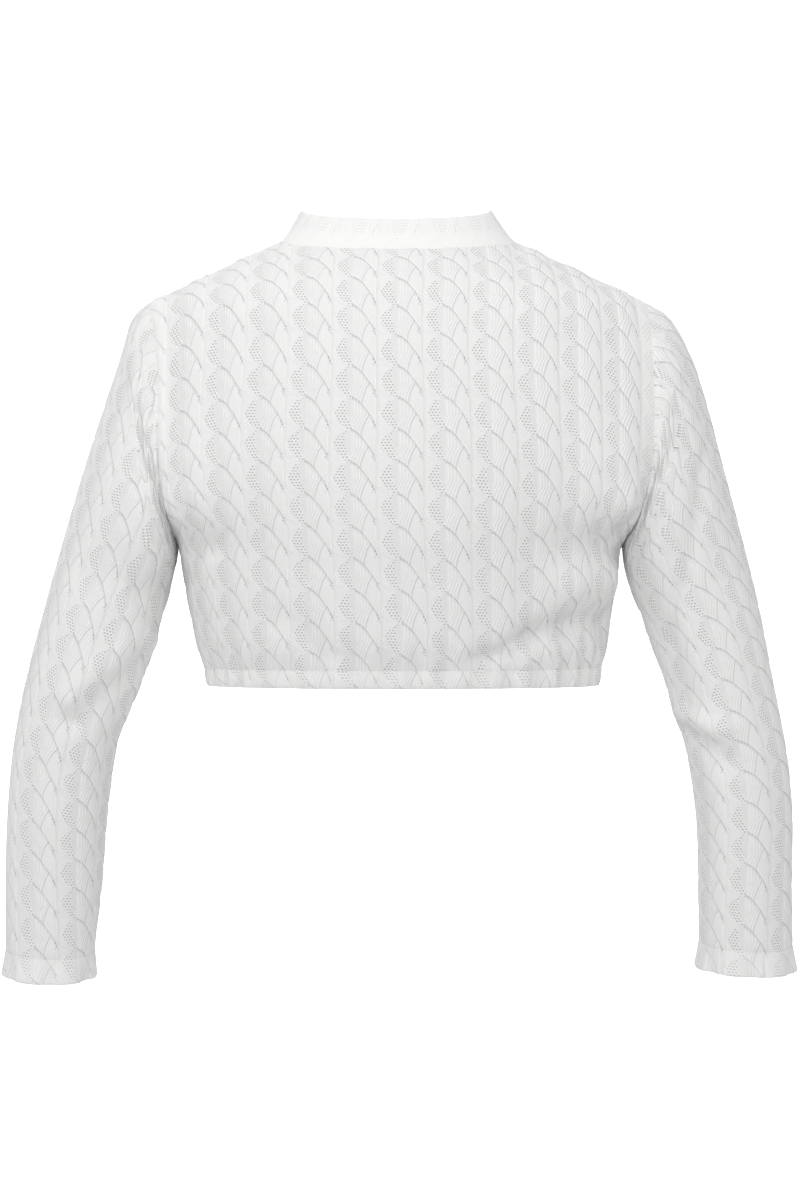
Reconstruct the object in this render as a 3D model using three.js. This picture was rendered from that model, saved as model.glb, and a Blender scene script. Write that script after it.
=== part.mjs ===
// A dirndl blouse in raised cable lace: low stand collar, long set-in sleeves, turned cuffs
// and a gathered hem casing, filled out as if worn. Millimetres, +Z up, +X to the wearer's
// left, +Y to the back. The origin is the middle of the neck opening, level with the top of the
// shoulders beside the collar.
import {
  BufferAttribute, BufferGeometry, Group, LatheGeometry, MathUtils, Mesh,
  MeshStandardMaterial, Vector2, Vector3,
} from 'three';

// Cloth
const WALL = 1.3;
const SEAM_GAP = 0.5;
const EDGE_STEP = 0.02;

// Cable repeat of the lace
const REPEAT_WIDTH = 36;
const REPEAT_HEIGHT = 27;
const CABLE_PHASE = 12;
const CABLE_HEIGHT = 1.7;
const RELIEF_FADE = 26;
const HEM_RELIEF_FADE = 20;
const FOLD_FADE = 14;
const DROP_FADE = 48;
const DROP_SHARE = 0.6;
// Mesh columns of one cable, from its left edge as seen from outside: how far across the
// repeat, how far the crossing line has dropped there, and the height at crossing and between.
const CABLE_COLUMNS = table(['across', 'drop', 'crossing', 'between'], [
  [0.00, 0.00, 0.00, 0.30],
  [0.27, 0.37, 0.18, 1.00],
  [0.55, 0.92, 0.05, 0.50],
]);
const CABLES_HALF_PANEL = 8;
const COLUMN_CLEARANCE = 4.5;
const HEM_CLEARANCE = 3;
const INNER_STEP = 40;
const INNER_CLEARANCE = 12;

// Body
const HALF_PANEL = 237;
const CORE = 120;
const UNDERARM = 108;
const NECK_HALF = 92;
const NECK_COLUMN = 96;
const NECK_TURN = 89;
const NECK_POINT = { y: 4, z: -2 };
const NECK_SHIFT = 1.6;
const NECK_CURL = { from: 82, over: 24 };
const SHOULDER_HALF = { left: 200, right: 196 };
const SHOULDER_Y = 2;
const SHOULDER_DROP = 51.8;
const ARMHOLE = { y: 2, z: -148, halfDepth: 57, halfHeight: 98, seamDepth: 2.4 };
const ROW_COLUMNS = ['rise', 'left', 'right', 'sideY', 'sideZ', 'midY', 'midZ', 'spread'];
// Sections of the back, hem to shoulder blades. rise is the cloth length above the hem.
const BACK_ROWS = table(ROW_COLUMNS, [
  [0, 154.0, 158.8, 0, -345, 98, -346.5, 90],
  [20, 161.0, 164.5, 0, -327, 106, -327.5, 90],
  [48, 167.6, 168.2, 0, -300, 112, -300, 90],
  [86, 174.4, 173.4, 0, -262, 118, -262, 90],
  [108, 176.8, 176.2, 0, -246, 121, -246, 90],
  [126, 183.0, 187.0, 34, -228, 123, -228, 70],
  [162, 189.5, 197.0, 52, -190, 124, -190, 60],
  [210, 190.5, 200.5, 58, -140, 120, -140, 54],
  [252, 192.5, 199.5, 51, -95, 111, -93, 50],
  [302, 198.0, 197.0, 30, -60, 90, -40, 48],
]);
const BACK_NECK = { rise: 351, y: 62, z: -12, slope: 0.5 };
const FRONT_ROWS = table(ROW_COLUMNS, [
  [0, 154.0, 158.8, 0, -345, -100, -346.5, 90],
  [20, 161.0, 164.5, 0, -327, -112, -327.5, 90],
  [48, 167.6, 168.2, 0, -300, -124, -300, 90],
  [86, 174.4, 173.4, 0, -262, -134, -262, 90],
  [108, 176.8, 176.2, 0, -246, -137, -246, 90],
  [126, 182.0, 184.0, -34, -228, -138, -230, 72],
  [162, 186.0, 190.0, -50, -190, -134, -198, 64],
  [206, 187.0, 193.0, -54, -140, -124, -156, 58],
  [240, 191.0, 195.0, -48, -95, -112, -122, 54],
  [284, 198.0, 196.0, -29, -60, -94, -89, 50],
]);
const FRONT_NECK = { rise: 337.5, y: -80, z: -66, slope: 0.75 };

// Hem
const GATHER_SPACING = 26;
const GATHER_DEPTH = 1.8;
const GATHER_FADE = 38;
const GATHER_SAMPLES = 3;
const CASING_ELLIPSE = { x: 160, y: 100 };
const CASING_LEAN = 0.16;
const PROFILE_COLUMNS = ['along', 'out', 'into'];
// The casing's section: how far down from the seam, its outer and its inner face.
const CASING_PROFILE = table(PROFILE_COLUMNS, [
  [0.5, 0.2, -1.3],
  [3.5, 1.5, -1.5],
  [10, 1.2, -1.8],
  [13, -0.4, -1.6],
]);

// Front closing: the right front lies over the left one.
const BAND_HALF = 11;
const BAND_WALL = 1.3;
const BAND_ENDS = { low: 1, high: 6 };
const BAND_FLAT = { beside: 2, over: 8 };
const UNDERLAP_REACH = 9;
const UNDERLAP_START = 26;
const UNDERLAP_END = 14;
const UNDERLAP_DEPTH = 4.2;
const BUTTONS = { count: 6, sides: 12, lowest: 26, highest: 318 };
// A button's section from the middle of its back round its rim to the middle of its dished face.
const BUTTON_PROFILE = [[0, 0], [4.2, 0], [5, 0.9], [4.6, 2.4], [3.5, 2.4], [2.9, 1.5], [0, 1.5]];

// Collar
const COLLAR_HEIGHT = 25;
const COLLAR_SIDE_DIP = 2.4;
const COLLAR_LEAN = 13;
const COLLAR_EASE = 1.6;
const COLLAR_TURN = 1.6;
// The collar's section: how far up from the seam, its outer and its inner face.
const COLLAR_PROFILE = table(PROFILE_COLUMNS, [
  [1, 0.2, -1.4],
  [6, 0.9, -1.4],
  [22, 0.7, -1.6],
  [25, -0.4, -1.4],
]);

// Sleeves: each section runs from its outer to its inner point and is an ellipse; tilt is how
// much its back hangs below its sides, belly how far its front and back swell outwards.
const SLEEVE_COLUMNS = ['outerX', 'outerZ', 'innerX', 'innerZ', 'axisY', 'halfDepth', 'tilt', 'belly'];
const SLEEVE_SECTIONS = {
  left: table(SLEEVE_COLUMNS, [
    [211, -62, 178.0, -253, 2, 57, 0, 5],
    [222, -92, 180.6, -267, 2, 56, 0, 5],
    [236, -135, 184.6, -283, 3, 54, 0, 3],
    [251, -183, 191.0, -306, 4, 52, 0, 1],
    [267, -238, 198.8, -333, 4, 49, 0, 0],
    [283, -295, 208.0, -359, 3, 47, 1, 0],
    [297, -347, 217.6, -381, 1, 45, 2, 0],
    [309, -403, 227.6, -408, -3, 43, 4, 0],
    [314.4, -455, 234.8, -458, -8, 41, 5, 0],
    [316.8, -515, 239.6, -515, -16, 39, 5, 0],
    [317.0, -571, 245.6, -572.5, -23, 37, 6, 0],
  ]),
  right: table(SLEEVE_COLUMNS, [
    [213, -62, 178.0, -253, 2, 57, 0, 14],
    [230, -90, 180.0, -267, 2, 56, 0, 11],
    [243.5, -130, 184.6, -281, 3, 54, 0, 7],
    [256, -178, 193.2, -302, 4, 52, 0, 3],
    [270.5, -233, 201.9, -329, 4, 49, 0, 0],
    [285.5, -292, 211.6, -355, 3, 47, 1, 0],
    [297, -347, 219.6, -381, 1, 45, 2, 0],
    [308, -403, 229.4, -408, -3, 43, 4, 0],
    [313.8, -455, 237.4, -458, -8, 41, 5, 0],
    [314.6, -515, 239.7, -515, -16, 39, 5, 0],
    [315.8, -568.5, 240.4, -565, -23, 37, 5, 0],
  ]),
};
const SLEEVE_GIRTH = 264;
const SLEEVE_SEAM_FADE = 18;
const SLEEVE_SEAM_END = 60;
const CABLES_ROUND = 8;
const CABLE_START = 0.1;
const INNER_ROUND = 14;
const INNER_SLEEVE_ROWS = 16;
const ROUND_STEP = 0.004;
const CUFF_ROUND = 28;
const CUFF_SLOPE_STEP = 4;
// The cuff's section: how far down from the sleeve's edge, its outer and its inner face.
const CUFF_PROFILE = table(PROFILE_COLUMNS, [
  [0, 0.4, -1.9],
  [3, 2.0, -1.2],
  [16, 3.1, 0.2],
  [19, 2.2, 0.6],
]);

// Largest folds. Panels: s is across from the centre line, rise is above the hem. Sleeves:
// s is the share round from the underarm seam by the back, rise is the length below the shoulder.
const FOLD_COLUMNS = ['s0', 'rise0', 's1', 'rise1', 'width', 'depth'];
const FOLDS = {
  back: table(FOLD_COLUMNS, [
    [-60, 8, -128, 38, 11, -4.5],
    [-128, 38, -200, 30, 12, -5],
    [-120, 62, -196, 54, 17, 4],
    [52, 12, 96, 44, 13, -2.5],
    [-176, 112, -224, 82, 10, -3],
    [160, 104, 214, 78, 12, -2.5],
  ]),
  front: table(FOLD_COLUMNS, [
    [60, 10, 132, 40, 12, -4],
    [140, 66, 200, 50, 16, 3],
    [-70, 14, -138, 36, 12, -3.5],
    [-150, 108, -214, 80, 12, -3],
  ]),
  left: table(FOLD_COLUMNS, [
    [0.06, 232, 0.33, 350, 15, 3],
    [0.05, 262, 0.34, 372, 13, -4],
    [0.12, 190, 0.30, 130, 14, -3],
    [0.70, 300, 0.93, 250, 14, -3.5],
  ]),
  right: table(FOLD_COLUMNS, [
    [0.04, 318, 0.22, 362, 13, -4],
    [0.06, 292, 0.24, 336, 14, 3.5],
    [0.12, 214, 0.34, 120, 14, -3.5],
    [0.72, 330, 0.95, 270, 14, -3.5],
  ]),
};

const LACE = { color: 0xf2f2f1, roughness: 0.85, metalness: 0 };
const BUTTON_FINISH = { color: 0xf4f3ef, roughness: 0.35, metalness: 0 };

function table(columns, rows) {
  return rows.map((row) => Object.fromEntries(columns.map((name, i) => [name, row[i]])));
}

function smooth(x) {
  const c = MathUtils.clamp(x, 0, 1);
  return c * c * (3 - 2 * c);
}

function mix(a, b, share) {
  return a.clone().lerp(b, share);
}

// A cubic through points at rising knots; the first and last are only there for the slopes.
function spline(knots, points, at) {
  let k = 1;
  while (k < knots.length - 3 && at > knots[k + 1]) {
    k += 1;
  }
  const slope = (i) => {
    const before = knots[i] - knots[i - 1];
    const after = knots[i + 1] - knots[i];
    const rise = points[i + 1].clone().sub(points[i]).multiplyScalar(before / after);
    const fall = points[i].clone().sub(points[i - 1]).multiplyScalar(after / before);
    return rise.add(fall).divideScalar(before + after);
  };
  const span = knots[k + 1] - knots[k];
  const f = (at - knots[k]) / span;
  const out = points[k].clone().multiplyScalar((1 + 2 * f) * (1 - f) * (1 - f));
  out.addScaledVector(slope(k), f * (1 - f) * (1 - f) * span);
  out.addScaledVector(points[k + 1], f * f * (3 - 2 * f));
  return out.addScaledVector(slope(k + 1), f * f * (f - 1) * span);
}

// A curve over 0..1 read by the distance along it.
function measured(pointAt, samples = 48) {
  const marks = [0];
  let last = pointAt(0);
  for (let i = 1; i <= samples; i += 1) {
    const next = pointAt(i / samples);
    marks.push(marks[i - 1] + next.distanceTo(last));
    last = next;
  }
  const length = marks[samples];
  const at = (distance) => {
    const wanted = MathUtils.clamp(distance, 0, length);
    let i = 0;
    while (i < samples - 1 && marks[i + 1] < wanted) {
      i += 1;
    }
    return pointAt((i + (wanted - marks[i]) / (marks[i + 1] - marks[i])) / samples);
  };
  return { length, at };
}

// How far a fold moves the cloth at (s, rise), with s in millimetres.
function foldHeight(folds, s, rise, sScale = 1) {
  return folds.reduce((sum, fold) => {
    const along = [(fold.s1 - fold.s0) * sScale, fold.rise1 - fold.rise0];
    const away = [(s - fold.s0) * sScale, rise - fold.rise0];
    const square = along[0] ** 2 + along[1] ** 2;
    const share = MathUtils.clamp((away[0] * along[0] + away[1] * along[1]) / square, 0, 1);
    const apart = Math.hypot(away[0] - share * along[0], away[1] - share * along[1]);
    return sum + fold.depth * Math.exp(-((apart / fold.width) ** 2));
  }, 0);
}

function gatherHeight(s, rise, facing) {
  const flat = facing < 0 ? 1 - smooth((Math.abs(s) - BAND_HALF) / 12) : 0;
  const phase = s / GATHER_SPACING + 0.13 * Math.sin(s / 37) + 0.07 * Math.sin(s / 13 + 1);
  return GATHER_DEPTH * Math.cos(2 * Math.PI * phase) * (1 - smooth(rise / GATHER_FADE)) * (1 - flat);
}

// Body panels
function sideName(s) {
  return s >= 0 ? 'left' : 'right';
}

function armholeNormal(point) {
  const y = (point.y - ARMHOLE.y) / ARMHOLE.halfDepth ** 2;
  const z = (point.z - ARMHOLE.z) / ARMHOLE.halfHeight ** 2;
  const radial = new Vector3(0, y, z).normalize();
  return radial.multiplyScalar(MathUtils.lerp(1, ARMHOLE.seamDepth, smooth(-radial.z)));
}

function neckNormal(point) {
  const middle = (BACK_NECK.y + FRONT_NECK.y) / 2;
  const depth = (BACK_NECK.y - FRONT_NECK.y) / 2;
  const out = new Vector3((point.x - NECK_SHIFT) / NECK_HALF ** 2, (point.y - middle) / depth ** 2, 0);
  return out.normalize().setZ(1).normalize();
}

function makePanel(rows, neck, facing, folds) {
  const knots = rows.map((row) => row.rise);
  const lines = Object.fromEntries(['left', 'right'].map((name) => {
    const turn = name === 'left' ? 1 : -1;
    return [name, rows.map((row) => measured((u) => {
      const spread = MathUtils.degToRad(row.spread);
      const bulge = (Math.cos(u * spread) - Math.cos(spread)) / (1 - Math.cos(spread));
      return new Vector3(
        turn * row[name] * Math.sin(u * spread) / Math.sin(spread),
        row.sideY + (row.midY - row.sideY) * bulge,
        MathUtils.lerp(row.midZ, row.sideZ, u * u),
      );
    }))];
  }));

  const topPoint = (s) => {
    const away = Math.abs(s);
    const turn = Math.sign(s);
    if (away <= NECK_COLUMN) {
      const x = NECK_HALF * away / NECK_COLUMN;
      const c = Math.max(0, 1 - (x / NECK_HALF) ** 2);
      return new Vector3(
        turn * x + NECK_SHIFT,
        MathUtils.lerp(NECK_POINT.y, neck.y, Math.sqrt(c)),
        MathUtils.lerp(NECK_POINT.z, neck.z, c ** neck.slope),
      );
    }
    const share = (away - NECK_COLUMN) / (HALF_PANEL - NECK_COLUMN);
    const start = new Vector3(turn * NECK_HALF + NECK_SHIFT, NECK_POINT.y, NECK_POINT.z);
    return start.lerp(new Vector3(turn * SHOULDER_HALF[sideName(s)], SHOULDER_Y, -SHOULDER_DROP), share);
  };

  const plain = (s, rise) => {
    const controls = lines[sideName(s)].map((line) => {
      const away = Math.abs(s);
      const squeezed = CORE + (away - CORE) * (line.length - CORE) / (HALF_PANEL - CORE);
      return line.at(away <= CORE ? away : squeezed);
    });
    const top = topPoint(s);
    const below = controls[controls.length - 1];
    const overShoulder = new Vector3(top.x, 2 * top.y - below.y, below.z);
    const onward = mix(top.clone().multiplyScalar(2).sub(below), overShoulder,
      smooth((Math.abs(top.x) - NECK_CURL.from) / NECK_CURL.over));
    const points = [controls[0].clone().multiplyScalar(2).sub(controls[1]), ...controls, top, onward];
    const last = neck.rise - knots[knots.length - 1];
    const point = spline([-knots[1], ...knots, neck.rise, neck.rise + last], points, rise);
    if (rise <= UNDERARM) {
      point.y = facing * Math.max(facing * point.y, 0);
    }
    return point;
  };

  const faceNormal = (s, rise) => {
    const across = plain(Math.min(s + 1, HALF_PANEL), rise).sub(plain(Math.max(s - 1, -HALF_PANEL), rise));
    const up = plain(s, Math.min(rise + 1, neck.rise)).sub(plain(s, Math.max(rise - 1, 0)));
    return up.cross(across).normalize().multiplyScalar(facing);
  };

  const seamNormal = (s, rise) => {
    const onEdge = Math.abs(s) > HALF_PANEL - EDGE_STEP;
    const onTop = rise > neck.rise - EDGE_STEP;
    if (onEdge && rise > UNDERARM - EDGE_STEP) {
      return armholeNormal(plain(s, rise));
    }
    if (onEdge) {
      return new Vector3(Math.sign(s), 0, 0);
    }
    if (onTop && Math.abs(s) <= NECK_COLUMN) {
      return neckNormal(plain(s, rise));
    }
    if (onTop) {
      const run = SHOULDER_HALF[sideName(s)] - NECK_HALF;
      return new Vector3(Math.sign(s) * SHOULDER_DROP, 0, run).normalize();
    }
    if (rise < EDGE_STEP) {
      return faceNormal(s, rise).setZ(0).normalize();
    }
    return faceNormal(s, rise);
  };

  // Pulls a panel's edge back from the seam line by half the gap.
  const pull = (s, rise) => {
    const out = new Vector3();
    const onEdge = Math.abs(s) > HALF_PANEL - EDGE_STEP;
    if (onEdge && rise > UNDERARM - EDGE_STEP) {
      out.x = -Math.sign(s) * SEAM_GAP / 2;
    }
    if (onEdge && rise < UNDERARM + EDGE_STEP) {
      out.y = facing * SEAM_GAP / 2;
    }
    if (rise > neck.rise - EDGE_STEP && Math.abs(s) > NECK_COLUMN - EDGE_STEP) {
      out.y = facing * SEAM_GAP / 2;
    }
    return out;
  };

  const edgeFade = (s, rise) => smooth((HALF_PANEL - Math.abs(s)) / RELIEF_FADE)
    * smooth((neck.rise - rise) / RELIEF_FADE);

  const at = (s, rise, height, depth) => {
    const form = foldHeight(folds, s, rise) * edgeFade(s, rise) * smooth(rise / FOLD_FADE);
    const gather = gatherHeight(s, rise, facing);
    const raised = form + gather + height * edgeFade(s, rise) * smooth(rise / HEM_RELIEF_FADE);
    const base = plain(s, rise).add(pull(s, rise));
    if (depth === 0) {
      return base.addScaledVector(seamNormal(s, rise).normalize(), raised);
    }
    return base.addScaledVector(seamNormal(s, rise).normalize(), form + gather)
      .addScaledVector(seamNormal(s, rise), -depth);
  };
  return { at, plain, neck, facing };
}

// Solids
// Joins two rows of points. Each point has its place k along the row, from 0 to 1, and the rows
// may have different numbers of points.
function joinRows(a, b, triangles, closed) {
  const list = (row) => (closed ? [...row, { ...row[0], k: row[0].k + 1 }] : row);
  const [p, q] = [list(a), list(b)];
  let i = 0;
  let j = 0;
  while (i < p.length - 1 || j < q.length - 1) {
    const nextP = i < p.length - 1 ? (p[i].k + p[i + 1].k) / 2 : Infinity;
    const nextQ = j < q.length - 1 ? (q[j].k + q[j + 1].k) / 2 : Infinity;
    if (nextP <= nextQ) {
      triangles.push([p[i].id, p[i + 1].id, q[j].id]);
      i += 1;
    } else {
      triangles.push([p[i].id, q[j + 1].id, q[j].id]);
      j += 1;
    }
  }
}

// A closed wall from outer and inner rows. Outer rows run so that their faces point outwards.
function wallGeometry(outer, inner, closed) {
  const points = [];
  const number = (rows) => rows.map((row) => row.map(({ p, k }) => {
    points.push(p);
    return { id: points.length - 1, k };
  }));
  const [out, into] = [number(outer), number(inner)];
  const triangles = [];
  const back = [];
  for (let r = 1; r < out.length; r += 1) {
    joinRows(out[r - 1], out[r], triangles, closed);
  }
  for (let r = 1; r < into.length; r += 1) {
    joinRows(into[r - 1], into[r], back, closed);
  }
  joinRows(into[0], out[0], triangles, closed);
  joinRows(out[out.length - 1], into[into.length - 1], triangles, closed);
  if (!closed) {
    const edge = (rows, place) => rows.map((row, r) => (
      { id: row.at(place).id, k: r / (rows.length - 1) }));
    joinRows(edge(out, 0), edge(into, 0), triangles, false);
    joinRows(edge(into, -1), edge(out, -1), triangles, false);
  }
  back.forEach(([a, b, c]) => triangles.push([a, c, b]));
  const geometry = new BufferGeometry();
  const flat = points.flatMap((p) => [p.x, p.y, p.z]);
  geometry.setAttribute('position', new BufferAttribute(new Float32Array(flat), 3));
  geometry.setIndex(triangles.flat());
  geometry.computeVertexNormals();
  return geometry;
}

function lacePiece(name, geometry) {
  const mesh = new Mesh(geometry, new MeshStandardMaterial(LACE));
  mesh.name = name;
  return mesh;
}

function spaced(from, to, count) {
  return Array.from({ length: count + 1 }, (_, i) => MathUtils.lerp(from, to, i / count));
}

// Adds the columns that must be there to a list, in place of those that come too close to them.
function withMarks(columns, marks, clearance) {
  const kept = columns.filter((column) => marks.every((mark) => Math.abs(column.s - mark.s) > clearance));
  return [...kept, ...marks].sort((a, b) => a.s - b.s);
}

function plainColumns(places) {
  return places.map((s) => ({ s, drop: 0, crossing: 0, between: 0 }));
}

// The edges of a stretch of a panel and the neck points in it.
function panelMarks(s0, s1) {
  const turns = [-NECK_COLUMN, -NECK_TURN, NECK_TURN, NECK_COLUMN].filter((s) => s > s0 && s < s1);
  return plainColumns([s0, ...turns, s1]);
}

// The columns of the cables across a panel, from s0 to s1.
function cableColumns(panel, s0, s1) {
  const columns = [];
  for (let n = -CABLES_HALF_PANEL; n <= CABLES_HALF_PANEL; n += 1) {
    CABLE_COLUMNS.forEach((column) => {
      const s = -panel.facing * (n + column.across) * REPEAT_WIDTH + CABLE_PHASE;
      if (s > s0 && s < s1) {
        columns.push({ s, ...column });
      }
    });
  }
  return withMarks(columns, panelMarks(s0, s1), COLUMN_CLEARANCE);
}

function panelRises(top) {
  const count = Math.ceil((top - COLUMN_CLEARANCE) / (REPEAT_HEIGHT / 2));
  const rises = Array.from({ length: count }, (_, n) => (
    { rise: n * REPEAT_HEIGHT / 2, isCrossing: n % 2 === 1 }));
  return [...rises, { rise: top, isCrossing: true }];
}

// The drop of a crossing line is taken up near the hem and the top, so that edges stay true.
function droppedRise(rise, drop, top) {
  const room = smooth(rise / DROP_FADE) * smooth((top - rise) / DROP_FADE);
  return rise - drop * REPEAT_HEIGHT * room * DROP_SHARE;
}

// A panel's solid between s0 and s1. flatten says where its cables are pressed flat, and sink
// how far it lies below the other front.
function panelGeometry(panel, s0, s1, flatten, sink) {
  const top = panel.neck.rise;
  const columns = cableColumns(panel, s0, s1);
  const gathers = Math.round((s1 - s0) / GATHER_SPACING) * GATHER_SAMPLES;
  const hemColumns = withMarks(plainColumns(spaced(s0, s1, gathers)), panelMarks(s0, s1), HEM_CLEARANCE);
  const steps = Math.round((s1 - s0) / INNER_STEP);
  const coarse = withMarks(plainColumns(spaced(s0, s1, steps)), panelMarks(s0, s1), INNER_CLEARANCE);
  const rowOf = ({ rise, isCrossing }, list, depth) => list.map((column) => {
    const height = CABLE_HEIGHT * (isCrossing ? column.crossing : column.between);
    const place = droppedRise(rise, column.drop, top);
    const point = panel.at(column.s, place, height * (1 - flatten(column.s)), depth);
    point.y -= panel.facing * sink(column.s);
    return { p: point, k: (column.s - s0) / (s1 - s0) };
  });
  const rises = panelRises(top);
  const isHem = ({ rise }) => rise <= REPEAT_HEIGHT;
  const outer = rises.map((r) => rowOf(r, isHem(r) ? hemColumns : columns, 0));
  const innerColumns = (r) => (r.rise > top - EDGE_STEP ? columns : coarse);
  const inner = rises.map((r) => rowOf(r, isHem(r) ? hemColumns : innerColumns(r), WALL));
  // Seen from outside, s runs to the right on the front and to the left on the back.
  return wallFacing(outer, inner, false, panel.facing > 0);
}

const backPanel = makePanel(BACK_ROWS, BACK_NECK, 1, FOLDS.back);
const frontPanel = makePanel(FRONT_ROWS, FRONT_NECK, -1, FOLDS.front);

function underlapSink(s) {
  return UNDERLAP_DEPTH * (1 - smooth((s - UNDERLAP_END) / (UNDERLAP_START - UNDERLAP_END)));
}

function level() {
  return 0;
}

function underBand(s) {
  return 1 - smooth((Math.abs(s) - BAND_HALF - BAND_FLAT.beside) / BAND_FLAT.over);
}

function makeBack() {
  return lacePiece('back', panelGeometry(backPanel, -HALF_PANEL, HALF_PANEL, level, level));
}

function makeFronts() {
  return [
    lacePiece('front_right', panelGeometry(frontPanel, -HALF_PANEL, BAND_HALF, underBand, level)),
    lacePiece('front_left',
      panelGeometry(frontPanel, -UNDERLAP_REACH, HALF_PANEL, underBand, underlapSink)),
  ];
}

// The armhole seam, from the underarm up the back to the shoulder and down the front.
function armholeSeam(turn) {
  const seam = [];
  const edge = turn * HALF_PANEL;
  const add = (panel, rises) => rises.forEach(({ rise }) => seam.push(panel.plain(edge, rise)));
  const above = (panel) => panelRises(panel.neck.rise).filter(({ rise }) => rise >= UNDERARM);
  add(backPanel, above(backPanel));
  add(frontPanel, above(frontPanel).reverse().slice(1, -1));
  let length = 0;
  const marks = seam.map((p, i) => {
    if (i > 0) {
      length += p.distanceTo(seam[i - 1]);
    }
    return length;
  });
  const total = length + seam[0].distanceTo(seam[seam.length - 1]);
  return seam.map((p, i) => ({ p, k: marks[i] / total }));
}

function makeSleeveForm(side) {
  const turn = side === 'left' ? 1 : -1;
  const sections = SLEEVE_SECTIONS[side];
  const seam = armholeSeam(turn);
  const loop = [...seam, { p: seam[0].p, k: 1 }];
  const seamAt = (share) => {
    let i = 0;
    while (i < loop.length - 2 && loop[i + 1].k < share) {
      i += 1;
    }
    return mix(loop[i].p, loop[i + 1].p, (share - loop[i].k) / (loop[i + 1].k - loop[i].k));
  };
  const rings = sections.map((section) => {
    const middle = new Vector3(
      turn * (section.outerX + section.innerX) / 2, section.axisY, (section.outerZ + section.innerZ) / 2);
    const toInner = new Vector3(
      turn * (section.innerX - section.outerX) / 2, 0, (section.innerZ - section.outerZ) / 2);
    return measured((share) => {
      const angle = 2 * Math.PI * share;
      const point = middle.clone().addScaledVector(toInner, Math.cos(angle));
      point.x += turn * section.belly * Math.sin(angle) ** 2;
      point.y += section.halfDepth * Math.sin(angle);
      point.z -= section.tilt * Math.sin(angle);
      return point;
    });
  });
  // Lengths below the shoulder, along the outer line.
  const outers = [seamAt(0.5), ...rings.map((ring) => ring.at(ring.length / 2))];
  const knots = [0];
  for (let i = 1; i < outers.length; i += 1) {
    knots.push(knots[i - 1] + outers[i].distanceTo(outers[i - 1]));
  }
  const length = knots[knots.length - 1];
  const ends = [2 * knots[0] - knots[1], 2 * length - knots[knots.length - 2]];
  const plain = (share, down) => {
    const around = share - Math.floor(share);
    const points = [seamAt(around), ...rings.map((ring) => ring.at(around * ring.length))];
    const before = points[0].clone().multiplyScalar(2).sub(points[1]);
    const n = points.length;
    const after = points[n - 1].clone().multiplyScalar(2).sub(points[n - 2]);
    return spline([ends[0], ...knots, ends[1]], [before, ...points, after], down);
  };
  const normal = (share, down) => {
    if (down < EDGE_STEP) {
      return armholeNormal(seamAt(share));
    }
    const low = Math.max(down - 1, 0);
    const high = Math.min(down + 1, length);
    const along = plain(share, high).sub(plain(share, low));
    const round = plain(share + ROUND_STEP, down).sub(plain(share - ROUND_STEP, down));
    return along.cross(round).normalize().multiplyScalar(turn);
  };
  const at = (share, down, height, depth) => {
    const fade = smooth(down / RELIEF_FADE) * smooth((length - down) / RELIEF_FADE);
    const fromSeam = Math.min(share, 1 - share) * SLEEVE_GIRTH;
    const below = smooth((down - SLEEVE_SEAM_END) / SLEEVE_SEAM_END);
    const seamFade = smooth(fromSeam / SLEEVE_SEAM_FADE + below);
    const form = foldHeight(FOLDS[side], share, down, SLEEVE_GIRTH) * fade * seamFade;
    const out = normal(share, down);
    const unit = out.clone().normalize();
    const point = plain(share, down).addScaledVector(unit, form);
    if (down < EDGE_STEP) {
      point.x += turn * SEAM_GAP / 2;
    }
    if (depth === 0) {
      return point.addScaledVector(unit, height * fade * seamFade);
    }
    return point.addScaledVector(out, -depth);
  };
  return { at, plain, length, seam, turn };
}

function makeSleeve(side) {
  const form = makeSleeveForm(side);
  const ringOf = (down, list, depth, isCrossing) => list.map((column) => {
    const height = CABLE_HEIGHT * (isCrossing ? column.crossing : column.between);
    const room = smooth(down / DROP_FADE) * smooth((form.length - down) / DROP_FADE);
    const place = down + column.drop * REPEAT_HEIGHT * room * DROP_SHARE;
    return { p: form.at(column.k, place, height, depth), k: column.k };
  });
  const columns = [];
  for (let n = 0; n < CABLES_ROUND; n += 1) {
    CABLE_COLUMNS.forEach((column) => {
      const share = (n + column.across + CABLE_START) / CABLES_ROUND;
      columns.push({ ...column, k: form.turn > 0 ? 1 - share : share });
    });
  }
  columns.sort((a, b) => a.k - b.k);
  const plainRound = (count) => spaced(0, 1, count).slice(0, -1)
    .map((k) => ({ k, drop: 0, crossing: 0, between: 0 }));
  const seamRing = form.seam.map(({ k }) => ({ k, drop: 0, crossing: 0, between: 0 }));
  const cuffRing = plainRound(CUFF_ROUND);
  const steps = Math.round(form.length / (REPEAT_HEIGHT / 2));
  const downs = spaced(0, form.length, steps);
  const outer = downs.map((down, i) => {
    if (i === 0) {
      return ringOf(down, seamRing, 0, true);
    }
    if (i === steps) {
      return ringOf(down, cuffRing, 0, true);
    }
    return ringOf(down, columns, 0, i % 2 === 1);
  });
  const innerDowns = spaced(0, form.length, INNER_SLEEVE_ROWS);
  const inner = innerDowns.map((down, i) => {
    if (i === 0) {
      return ringOf(down, seamRing, WALL, true);
    }
    if (i === INNER_SLEEVE_ROWS) {
      return ringOf(down, cuffRing, WALL, true);
    }
    return ringOf(down, plainRound(INNER_ROUND), WALL, true);
  });
  return lacePiece(`sleeve_${side}`, wallFacing(outer, inner, true, form.turn > 0));
}

// Rows turned round where their faces would otherwise point inwards.
function wallFacing(outer, inner, closed, isTurned) {
  if (!isTurned) {
    return wallGeometry(outer, inner, closed);
  }
  const turned = (rows) => rows.map((row) => [...row].reverse().map(({ p, k }) => ({ p, k: 1 - k })));
  return wallGeometry(turned(outer), turned(inner), closed);
}

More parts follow.
